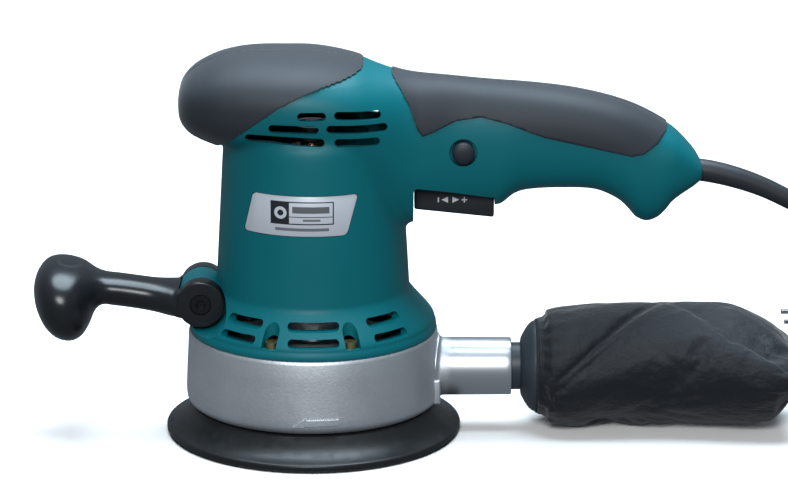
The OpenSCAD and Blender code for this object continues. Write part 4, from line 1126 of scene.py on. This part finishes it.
def label_outline(grow):
    """Slanted label outline about its middle, in X and Z."""
    r, w, h = 2.0, 26 + grow - 2, 10 + grow - 2
    points = []
    for sx, sz, start in ((1, 1, 0), (-1, 1, 90), (-1, -1, 180), (1, -1, 270)):
        for a in range(0, 91, 15):
            t = math.radians(start + a)
            z = sz * h + r * math.sin(t)
            points.append((sx * w + r * math.cos(t) + 0.25 * z, LABEL_Z + z))
    return points


def label_solid(name, inner, outer, grow):
    """Curved plate on the barrel between two offsets from its skin."""
    low, high = LABEL_Z - 16, LABEL_Z + 16
    ring = turned(name, [
        (barrel_radius(low) + inner, low), (barrel_radius(low) + outer, low),
        (barrel_radius(high) + outer, high), (barrel_radius(high) + inner, high)], 240)
    return combine(ring, prism("edge", label_outline(grow), -80, 0, turn=LABEL_ANGLE), "INTERSECT")


def cut_screw_heads(obj):
    """Room for the shell screws' heads, which go in from the right."""
    for x, depth in SCREWS:
        cut(obj, cross_rod("head_room", 3.7, x, HEAD_TOP - depth, 15, 60, 40))


class SANDER_OT_shells(Operator):
    """Two moulded shells with their vents, seats and screw holes"""

    bl_idname = "sander.shells"
    bl_label = "Shells"

    def execute(self, context):
        grain = (sizes().grain / MM) * 1
        body = body_shape(grain)
        flare = [(0, BASE_TOP), (LIP_R - 0.4, BASE_TOP), (LIP_R, BASE_TOP + 0.4), (LIP_R + 0.05, BASE_TOP + 0.9),
                 (LIP_R - 0.2, BASE_TOP + 3.2)] + flare_profile() + [(0, 82)]
        combine(body, turned("flare", flare, 144))
        combine(body, cross_rod("lug", EAR_R, CLAMP_X, CLAMP_Z, -LUG_HALF, LUG_HALF, 72, 0.8))
        root_low = (CLAMP_X, -LUG_HALF + 0.3, CLAMP_Z - EAR_R + 0.5)
        root_high = (-46, LUG_HALF - 0.3, CLAMP_Z + EAR_R - 3.5)
        combine(body, block("lug_root", root_low, root_high, 0.8))
        cut(body, self.cavity())
        self.cut_openings(body)
        skin = finish("teal_plastic", lambda: teal_finish(colours()))
        gap = sizes().split / MM / 2
        right = copy_of(body, "shell_right")
        combine(right, block("right_half", (-120, gap, 0), (260, 120, 260)), "INTERSECT")
        combine(body, block("left_half", (-120, -120, 0), (260, -gap, 260)), "INTERSECT")
        body.name = body.data.name = "shell_left"
        for side, obj in ((-1, body), (1, right)):
            self.cut_side(obj, side)
        dress(body, "tool", skin, ["left_housing"])
        dress(right, "tool", skin, ["right_housing"])
        return {"FINISHED"}

    @staticmethod
    def cavity():
        """The room inside the shells, less the ribs and bosses that stay."""
        room = loft("room", form_rings(-3, form_places(5.0), 40))
        barrel = turned("barrel_room", [
            (0, BASE_TOP - 1), (LIP_R - 12, BASE_TOP - 1), (LIP_R - 12, BASE_TOP + 4), (LIP_R - 3.6, BASE_TOP + 4),
            (BARREL_R + 4, BASE_TOP + 10), (BARREL_R - 2.4, BASE_TOP + 17), (BARREL_R - 3, FLARE_TOP),
            (BARREL_TOP_R - 3, BARREL_TOP), (BARREL_TOP_R - 9, BARREL_TOP + 9), (0, BARREL_TOP + 9)], 96)
        combine(room, barrel)
        x0, x1, z = BAY
        cut(room, block("bay_floor", (x0 - 3, -60, z - 0.5), (x1 + 2, 60, z + 2.4)))
        for x, depth in SCREWS:
            cut(room, cross_rod("boss", 4.6, x, HEAD_TOP - depth, 2.5, 60, 32))
        for side in (-1, 1):
            cut(room, cross_rod("pocket_wall", 16, CLAMP_X, CLAMP_Z, side * 8, side * 60))
        x, y, z = BUTTON
        cut(room, cross_rod("cup", 9, x, z, -60, y + 7, 48))
        return room

    @staticmethod
    def cut_openings(body):
        """Cuts that run through both shells."""
        x0, x1, z = BAY
        for x_start, x_end, depth, slope in VENTS:
            shape = slot_outline(x_start, x_end, HEAD_TOP - depth, 4.3, slope)
            for y0, y1 in ((-60, -20), (20, 60)):
                cut(body, prism("vent", shape, y0, y1))
        for side in (-1, 1):
            for angle, half in FLARE_SLOTS:
                for row in FLARE_ROWS:
                    shape = slot_outline(-half, half, row, 4.3)
                    turn = math.radians(angle) + (math.pi if side > 0 else 0)
                    cut(body, prism("flare_slot", shape, -80, -36, turn=turn))
            for angle in SCALLOPS:
                low, high = BASE_TOP + 4.9, BASE_TOP + 30
                x, y = on_circle(SCREW_CIRCLE, side * 90 + angle)
                room = upright("scallop", 3.9, x, y, low, high, 40)
                way = block("scallop_way", (-3.9, SCREW_CIRCLE, low), (3.9, 66, high))
                turn_points(way, math.radians(side * 90 + angle - 90))
                cut(body, combine(room, way))
            near, far = (LUG_HALF, 60) if side > 0 else (-60, -LUG_HALF)
            cut(body, cross_rod("ear_pocket", 13.6, CLAMP_X, CLAMP_Z, near, far))
        cut(body, cross_rod("bolt_way", 3.1, CLAMP_X, CLAMP_Z, -30, 30, 32))
        bay = rounded_outline([(x0, z + 4.6), (x1, z - 2.6), (x1, z - 50), (x0, z - 50)], 2.2)
        cut(body, prism("bay", bay, -60, 60))
        cut(body, rod("lead_way", 5.9, (167, 0, EXIT_Z), (230, 0, EXIT_Z), 48))
        for name, edge in (("front_seat", FRONT_GRIP), ("rear_seat", REAR_GRIP)):
            cut(body, grip_cutter(name, edge, -2.0))

    @staticmethod
    def cut_side(obj, side):
        """Cuts in one shell."""
        x, y, z = BUTTON
        if side < 0:
            cut(obj, cross_rod("cup_room", 7, x, z, -60, y + 2))
            cut(obj, cross_rod("stem_way", 4.4, x, z, -40, 10, 48))
            cut(obj, label_solid("label_seat", -0.9, 4.0, 0.35))
            return
        cut_screw_heads(obj)


class SANDER_OT_grips(Operator):
    """Rubber grips on the head and on the handle, one on each shell"""

    bl_idname = "sander.grips"
    bl_label = "Grips"

    def execute(self, context):
        rubber = finish("rubber_grip", lambda: rubber_finish(colours()))
        proud = sizes().grip_proud / MM
        gap = sizes().split / MM / 2
        for name, edge in (("front_grip", FRONT_GRIP), ("rear_grip", REAR_GRIP)):
            for side, half in ((-1, "left"), (1, "right")):
                y0, y1 = (gap, 70) if side > 0 else (-70, -gap)
                grip = grip_cutter(f"grip_{name}_{half}", edge, -2.0, y0, y1)
                combine(grip, loft("outer", form_rings(proud, form_places(2.0), 72)), "INTERSECT")
                if side > 0:
                    cut_screw_heads(grip)
                modify(grip, "REMESH", mode="VOXEL", voxel_size=0.6 * MM, adaptivity=0)
                modify(grip, "SMOOTH", factor=0.5, iterations=9)
                rest_on_form(grip, proud, 0.35)
                modify(grip, "SMOOTH", factor=0.4, iterations=2)
                dress(grip, "tool", rubber, [f"{half}_{name}"], angle=60)
        return {"FINISHED"}


class SANDER_OT_label(Operator):
    """Curved label in its recess"""

    bl_idname = "sander.label"
    bl_label = "Label"

    def execute(self, context):
        plate = label_solid("barrel_label", -0.9, -0.25, 0)
        soften_edges(plate, 0.15, 2, angle=50)
        dress(plate, "tool", finish("label", lambda: label_finish(colours())), ["name_plate"])
        return {"FINISHED"}


class SANDER_OT_base(Operator):
    """Cast base with its dust nozzle"""

    bl_idname = "sander.base"
    bl_label = "Base casting"

    def execute(self, context):
        z0, top, r = SKIRT_Z, BASE_TOP, SKIRT_R
        profile = [
            (r - 5, z0 + 0.6), (r - 4.6, z0 + 0.1), (r - 3.9, z0), (r - 2.5, z0 + 0.5), (r - 1.3, z0 + 1.5),
            (r - 0.55, z0 + 2.9), (r - 0.25, z0 + 4.6), (r - 0.15, z0 + 8), (r - 0.55, z0 + 18),
            (r - 1.1, z0 + 27), (r - 1.5, top - 2), (r - 1.75, top - 1), (r - 2.2, top - 0.3), (r - 2.9, top),
            (22, top), (22, top - 4), (r - 15, top - 4), (r - 6, top - 12), (r - 4.3, top - 16)]
        casting = turned("skirt_casting", profile, 192)
        combine(casting, self.nozzle())
        pad = block("outlet_boss", (r - 7, -19, z0 + 1.5), (r - 0.2, 19, z0 + 14.5), 1.0, 4)
        combine(casting, pad)
        cut(casting, rod("throat", 12.4, (r - 12, 0, NOZZLE_Z), (NOZZLE_REACH + 8, 0, NOZZLE_Z), 72))
        for side in (-90, 90):
            for angle in SCALLOPS:
                cut(casting, upright("thread", 2.1, *on_circle(SCREW_CIRCLE, side + angle), top - 9, top + 5, 32))
        for angle in (45, 135, 225, 315):
            cut(casting, upright("thread", 1.7, *on_circle(PLATE_CIRCLE, angle), top - 8, top + 5, 24))
        combine(casting, self.turn_mark())
        skin = finish("cast_silver", lambda: casting_finish(colours()))
        dress(casting, "tool", skin, ["base_casting"], angle=32)
        return {"FINISHED"}

    @staticmethod
    def nozzle():
        """Tube that flares where it meets the round skirt."""
        a = (np.arange(96) + 0.5) * 2 * math.pi / 96
        fillet = sizes().nozzle_fillet / MM
        r_out, end = 14.9, NOZZLE_REACH

        def ring(x, r):
            return np.stack([np.full(96, float(x)), r * np.cos(a), NOZZLE_Z + r * np.sin(a)], axis=1)

        rings = [ring(end, 12.0), ring(end, 14.2), ring(end - 0.15, 14.5), ring(end - 0.6, 14.7)]
        rings += [ring(x, 14.7 + 0.2 * (end - x) / 30) for x in np.linspace(end - 3, SKIRT_R + 8, 8)]
        for t in np.linspace(0, 1, 8):
            r = r_out + fillet * (1 - math.cos(t * math.pi / 2))
            wide = ring(0, r)
            skin = np.sqrt(np.maximum(64.6**2 - wide[:, 1] ** 2, 1))
            wide[:, 0] = skin + fillet * (1 - math.sin(t * math.pi / 2)) - 0.2
            rings.append(wide)
        deep = ring(0, r_out + fillet)
        deep[:, 0] = np.sqrt(np.maximum(62.6**2 - deep[:, 1] ** 2, 1))
        rings.append(deep)
        inner = ring(0, 12.0)
        inner[:, 0] = np.sqrt(62.0**2 - inner[:, 1] ** 2)
        rings.append(inner)
        return loft("nozzle", rings)

    @staticmethod
    def turn_mark():
        """Small raised arrow on the skirt for the way the motor turns."""
        points = [(-9.2, 20.2), (-2.2, 25.0), (-2.5, 23.8), (13.8, 23.9), (13.8, 21.2), (-3.3, 20.9), (-3.6, 20.2)]
        mark = turned("mark", [(63.6, 20), (65.9, 20), (65.9, 27), (63.6, 27)], 192)
        return combine(mark, prism("arrow", points, -80, -20), "INTERSECT")


class SANDER_OT_controls(Operator):
    """Trigger with its speed dial, and the lock-on button"""

    bl_idname = "sander.controls"
    bl_label = "Controls"

    def execute(self, context):
        c = colours()
        x0, x1, z = BAY
        side = rounded_outline([
            (x0 + 0.35, z + 4.0), (x1 - 0.4, z - 2.9), (x1 - 0.4, z - 14.2), (x0 + 0.35, z - 10.0)], 1.4)
        trigger = prism("trigger_lever", side, -10, 10, bevel=1.1, segments=4)
        dial_x, dial_z = DIAL
        cut(trigger, cross_rod("wheel_room", 8.6, dial_x, dial_z, -5.4, 5.4))
        dress(trigger, "trigger", finish("trigger_plastic", lambda: trigger_finish(c)), ["trigger"])
        a = np.arange(192) * 2 * math.pi / 192
        notch = 7.95 - 0.55 * np.clip(np.cos(a * 24), 0, 1) ** 2
        edge = [(dial_x + r * math.cos(t), dial_z + r * math.sin(t)) for r, t in zip(notch, a)]
        wheel = prism("speed_wheel", edge, -5, 5)
        combine(wheel, cross_rod("axle", 1.5, dial_x, dial_z, -7.6, 7.6, 24))
        skin = finish("wheel", lambda: moulded("wheel_plastic", shade(c.trigger, 1.4), 0.5))
        dress(wheel, "dial", skin, ["speed_dial"])
        cap = [(0, 11.6), (4, 11.6), (4, 1.8), (5.4, 1.8), (5.6, 1.5), (5.6, -2.6), (5.35, -3.4), (4.7, -4.1),
               (3.6, -4.55), (2, -4.8), (0, -4.9)]
        button = turned("lock_on_button", cap, 72, axis="Y", at=BUTTON)
        skin = finish("button", lambda: moulded("button_plastic", shade(c.rubber, 0.9), 0.5))
        dress(button, "lock", skin, ["lock_button"], angle=50)
        return {"FINISHED"}


class SANDER_OT_front_handle(Operator):
    """Front handle with its forked clamp and palm knob"""

    bl_idname = "sander.front_handle"
    bl_label = "Front handle"

    def execute(self, context):
        places = np.concatenate([np.linspace(10, 44, 22), np.linspace(45, 82, 46), [82.8, 83.5, 84, 84.4]])
        c, s = oval(72, 2.4)
        rings = []
        for at in places:
            mid, rise, half = self.section(at)
            lean = self.lean(at)
            rings.append([(-at - lean * rise * s[i], half * c[i], mid + rise * s[i]) for i in range(72)])
        handle = loft("front_handle_grip", rings)
        combine(handle, block("fork", (-EAR_R - 1, -EAR_OUT + 0.8, -9.6), (-2, EAR_OUT - 0.8, 4.4), 2.4, 4))
        modify(handle, "REMESH", mode="VOXEL", voxel_size=0.9 * MM, adaptivity=0)
        modify(handle, "SMOOTH", factor=0.5, iterations=9)
        p = points_of(handle)
        mid, _, _ = self.section(np.clip(-p[:, 0], 10, 84.4))
        at = np.clip(-p[:, 0] - self.lean(-p[:, 0]) * (p[:, 2] - mid), 10, 84.4)
        mid, rise, half = self.section(at)
        share = (np.abs(p[:, 1] / half) ** 2.4 + np.abs((p[:, 2] - mid) / rise) ** 2.4) ** (1 / 2.4)
        weight = (np.abs(share - 1) * np.minimum(rise, half) < 1.0) * ease(at, 26, 32) * (1 - ease(at, 42, 47))
        press_to_section(p, share, mid, weight)
        place_points(handle, p)
        modify(handle, "SMOOTH", factor=0.4, iterations=2)
        turn_points(handle, ARM_TILT, "Y")
        shift(handle, CLAMP_X, 0, CLAMP_Z)
        combine(handle, cross_rod("ears", EAR_R, CLAMP_X, CLAMP_Z, -EAR_OUT, EAR_OUT, 96, 0.9, 4))
        for name, radius, y0, y1, sides in (
            ("gap", EAR_R + 1, -EAR_IN, EAR_IN, 96), ("bolt_way", 3.1, -30, 30, 40),
            ("head_room", 5.4, -EAR_OUT - 1, -EAR_OUT + 4, 64), ("nut_room", 5.9, EAR_OUT - 4, EAR_OUT + 1, 6),
        ):
            cut(handle, cross_rod(name, radius, CLAMP_X, CLAMP_Z, y0, y1, sides))
        skin = finish("black_plastic", lambda: handle_finish(colours()))
        dress(handle, "handle", skin, ["front_handle"])
        return {"FINISHED"}

    @staticmethod
    def section(at):
        """Middle height, half height and half width of the arm at a distance out."""
        return [smooth_value([(row[0], row[k]) for row in ARM], at) for k in (1, 2, 3)]

    @staticmethod
    def lean(at):
        """How far the knob leans out at its top."""
        return 0.2 * np.clip((np.asarray(at) - 48) / 8, 0, 1)


class SANDER_OT_pad(Operator):
    """Sanding pad and its hook facing"""

    bl_idname = "sander.pad"
    bl_label = "Pad"

    def execute(self, context):
        c = colours()
        r, middle = PAD_R, (0, -ORBIT, 0)
        profile = [
            (0, 1.6), (r - 0.4, 1.6), (r, 2.0), (r, 3.5), (r - 0.2, 3.95), (r - 0.7, 4.3), (r - 2, 4.75), (r - 4, 5.6),
            (r - 6, 6.8), (r - 8, 8.3), (r - 10, 10.2), (r - 11.8, 12.3), (r - 13.2, 14.2), (r - 13.8, 14.8),
            (r - 14.6, PAD_TOP), (0, PAD_TOP)]
        foam = turned("pad_cushion", profile, 192, at=middle)
        face = [(0, 0), (r - 0.9, 0), (r - 0.6, 0.3), (r - 0.6, 1.6), (0, 1.6)]
        facing = turned("pad_hook_face", face, 192, at=middle)
        cut(foam, upright("plate_room", 56, 0, -ORBIT, 9, 30, 128))
        for obj in (foam, facing):
            cut(obj, upright("screw_room", 12, 0, -ORBIT, -2, 20))
            for k in range(6):
                x, y = on_circle(40, k * 60)
                cut(obj, upright("dust_hole", 5, x, y - ORBIT, -2, 20, 40))
        dress(foam, "pad", finish("pad_foam", lambda: pad_finish(c)), ["pad_foam"], angle=40)
        dress(facing, "pad", finish("hook_fabric", lambda: hook_finish(c)), ["pad_facing"])
        return {"FINISHED"}


class SANDER_OT_bag(Operator):
    """Dust bag with its collar and band"""

    bl_idname = "sander.bag"
    bl_label = "Dust bag"

    def execute(self, context):
        c = colours()
        start = corner("dust_bag", 0, 0)
        length = corner("dust_bag", 1, 0) - start
        neck, reach, face = 12.1, NOZZLE_REACH, start - 11.5
        profile = [
            (neck - 2, reach - 13), (neck - 0.3, reach - 13), (neck, reach - 12.4), (neck, face),
            (neck + 2.6, face + 0.4), (neck + 4.4, face + 1.3), (neck + 7, face + 2.8), (neck + 9.4, face + 4.5),
            (neck + 10.8, face + 6.2), (neck + 11.3, face + 7.6), (neck + 11.3, start),
            (neck + 8.3, start), (neck + 8.3, face + 8), (neck - 2, face + 2.4)]
        collar = turned("bag_collar_cone", profile, 96, axis="X", at=(0, 0, NOZZLE_Z))
        skin = finish("collar_plastic", lambda: moulded("collar_plastic", c.collar, 0.45))
        dress(collar, "bag", skin, ["bag_collar"])
        turn = np.arange(16) * math.pi / 8
        loop = [(23.5 + 0.4 * (1 + math.cos(t)), start - 2.2 + 1.6 * math.sin(t)) for t in turn]
        band = turned("bag_band_cord", loop, 96, axis="X", at=(0, 0, NOZZLE_Z))
        dress(band, "bag", finish("band", lambda: strap_finish(c)), ["bag_band"])
        bag = self.fabric(start, length)
        dress(bag, "bag", finish("bag_fabric", lambda: bag_finish(c)), ["dust_bag"], angle=70)
        return {"FINISHED"}

    @staticmethod
    def fabric(start, length):
        """The bag's cloth, filled by pressure and gathered at both ends."""
        rows, cols = 64, 112
        c, s = oval(cols, 2.1, 0.0)
        turn = np.arange(cols) * 2 * math.pi / cols
        pleats = sizes().pleats
        rings = []
        for at in np.concatenate([np.linspace(-3.4, 12, 14), np.linspace(14, 131, rows - 14)]):
            top, low, wide = (float(smooth_value([(row[0], row[k]) for row in BAG], at)) for k in (1, 2, 3))
            fade = float(ease(at, -1.5, 3)) * math.exp(-max(0, at) / 10)
            gather = 1 + 0.022 * np.cos(turn * pleats + 0.8 * np.sin(turn * 5)) * fade
            rings.append(np.stack([
                np.full(cols, start + at * length / 131), wide * c * gather,
                NOZZLE_Z + np.where(s > 0, top, low) * s * gather], axis=1))
        bag = loft("dust_bag_cloth", rings)
        p = points_of(bag)
        rest = p.copy()
        rng = np.random.default_rng(7)
        for _ in range(26):
            centre = np.array([rng.uniform(start + 12, start + length - 14), 0, 0])
            a = rng.uniform(0, 2 * math.pi)
            lean = rng.uniform(-0.9, 0.9)
            angle = np.arctan2(rest[:, 2] - NOZZLE_Z, rest[:, 1])
            along = rest[:, 0] - centre[0]
            across = (np.angle(np.exp(1j * (angle - a)))) * 28 - lean * along
            fall = np.exp(-((across / 2.6) ** 2)) * np.exp(-((along / rng.uniform(14, 34)) ** 2))
            depth = rng.uniform(-1.3, 0.9)
            radial = rest - np.array([0, 0, NOZZLE_Z])
            radial[:, 0] = 0
            radial /= np.maximum(np.linalg.norm(radial, axis=1, keepdims=True), 1e-6)
            p += radial * (fall * depth)[:, None]
        place_points(bag, p)
        simulate_cloth(bag, p, start, length)
        modify(bag, "SUBSURF", levels=1, render_levels=1)
        p = points_of(bag)
        p[:, 2] = np.maximum(p[:, 2], 0.6)
        place_points(bag, p)
        return bag


def simulate_cloth(bag, rest, start, length):
    """Fills the bag with air for a moment, and keeps it near its solid."""
    scene = bpy.context.scene
    group = bag.vertex_groups.new(name="held")
    held = np.nonzero((rest[:, 0] < start + 1.0) | (rest[:, 0] > start + length - 2.0))[0]
    group.add(held.tolist(), 1.0, "REPLACE")
    only(bag)
    cloth = bag.modifiers.new("Cloth", "CLOTH")
    settings = cloth.settings
    settings.vertex_group_mass = "held"
    settings.quality = 6
    settings.mass = 0.15
    settings.tension_stiffness = settings.compression_stiffness = 12
    settings.shear_stiffness = 4
    settings.bending_stiffness = 0.15
    settings.use_pressure = True
    settings.uniform_pressure_force = sizes().pressure
    settings.shrink_min = -0.035
    settings.effector_weights.gravity = 0
    cloth.collision_settings.use_collision = False
    cloth.collision_settings.use_self_collision = False
    for number in range(1, 21):
        scene.frame_set(number)
    bpy.ops.object.modifier_apply(modifier=cloth.name)
    scene.frame_set(1)
    moved = points_of(bag)
    step = moved - rest
    far = np.linalg.norm(step, axis=1, keepdims=True)
    place_points(bag, rest + step * np.minimum(1, 3.2 / np.maximum(far, 1e-6)))
    bag.vertex_groups.clear()


class SANDER_OT_works(Operator):
    """Finishes of the frame's own nodes: motor, bearings, screws, switch and plates"""

    bl_idname = "sander.works"
    bl_label = "Works"

    def execute(self, context):
        steel = finish("steel", lambda: metal("steel", (0.46, 0.47, 0.49), 0.3))
        blacked = finish("blacked_steel", lambda: metal("blacked_steel", (0.03, 0.032, 0.036), 0.4))
        yellow = finish("yellow_zinc", lambda: metal("yellow_zinc", (0.34, 0.27, 0.13), 0.42))
        bright = finish("bearing_steel", lambda: metal("bearing_steel", (0.6, 0.61, 0.63), 0.22, depth=0.004))
        dark = finish("switch_plastic", lambda: moulded("switch_plastic", (0.02, 0.02, 0.022), 0.45))
        alloy = finish("alloy", lambda: metal("bearing_plate_alloy", (0.5, 0.51, 0.53), 0.42, grain=700, depth=0.05))
        iron = finish("laminations", lambda: laminated("laminations", (0.2, 0.2, 0.21)))
        wire = finish("copper_wire", lambda: winding("copper_wire", (0.62, 0.24, 0.09)))
        copper = finish("copper", lambda: metal("commutator_copper", (0.7, 0.3, 0.15), 0.3))
        brass = finish("brass", lambda: metal("brass", (0.7, 0.5, 0.2), 0.32))
        carbon = finish("carbon", lambda: moulded("carbon", (0.02, 0.02, 0.02), 0.6, grain=900, depth=0.08))
        fan = finish("fan_plastic", lambda: moulded("fan_plastic", (0.03, 0.03, 0.033), 0.5))
        plate = finish("pad_plate_plastic", lambda: moulded("pad_plate_plastic", (0.02, 0.02, 0.022), 0.4))
        board = finish("circuit", lambda: circuit_finish("circuit"))
        given = {
            blacked: ["handle_bolt", "handle_nut"],
            yellow: ["base_screws"],
            steel: ["housing_screws", "plate_screws", "armature_shaft", "brush_springs", "pad_spindle", "pad_screw",
                    "eccentric_hub"],
            bright: ["plug_pins"] + [f"{place}_bearing_{part}" for place in ("lower", "upper", "pad")
                                     for part in ("outer", "inner", "balls")],
            dark: ["switch_body", "cord_clamp"],
            alloy: ["bearing_plate"],
            iron: ["stator_core", "armature_core"],
            wire: ["stator_coils", "armature_coils"],
            copper: ["commutator"],
            brass: ["brush_holders"],
            carbon: ["brushes"],
            fan: ["cooling_fan", "dust_fan"],
            plate: ["pad_plate"],
            board: ["speed_module"],
        }
        for material, nodes in given.items():
            for node in nodes:
                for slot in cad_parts[node].material_slots:
                    slot.material = material
        return {"FINISHED"}


class SANDER_PT_panel(Panel):
    """Lists the sander's pieces"""

    bl_idname = "SANDER_PT_panel"
    bl_label = "Orbital Sander"
    bl_space_type = "VIEW_3D"
    bl_region_type = "UI"
    bl_category = "Sander"

    def draw(self, context):
        layout = self.layout
        for group in (context.scene.sander_sizes, context.scene.sander_colours):
            for key in group.__annotations__:
                layout.prop(group, key)
        for operator in STEPS:
            layout.operator(operator.bl_idname)


STEPS = (
    SANDER_OT_stage, SANDER_OT_lead, SANDER_OT_shells, SANDER_OT_grips, SANDER_OT_label, SANDER_OT_base,
    SANDER_OT_controls, SANDER_OT_front_handle, SANDER_OT_pad, SANDER_OT_bag, SANDER_OT_works,
)
CLASSES = (SanderColours, SanderSizes, *STEPS, SANDER_PT_panel)


def register():
    for cls in CLASSES:
        bpy.utils.register_class(cls)
    bpy.types.Scene.sander_colours = PointerProperty(type=SanderColours)
    bpy.types.Scene.sander_sizes = PointerProperty(type=SanderSizes)


def unregister():
    del bpy.types.Scene.sander_sizes
    del bpy.types.Scene.sander_colours
    for cls in reversed(CLASSES):
        bpy.utils.unregister_class(cls)


def main():
    register()
    for operator in STEPS:
        group, name = operator.bl_idname.split(".")
        getattr(getattr(bpy.ops, group), name)()


if __name__ == "__main__":
    main()
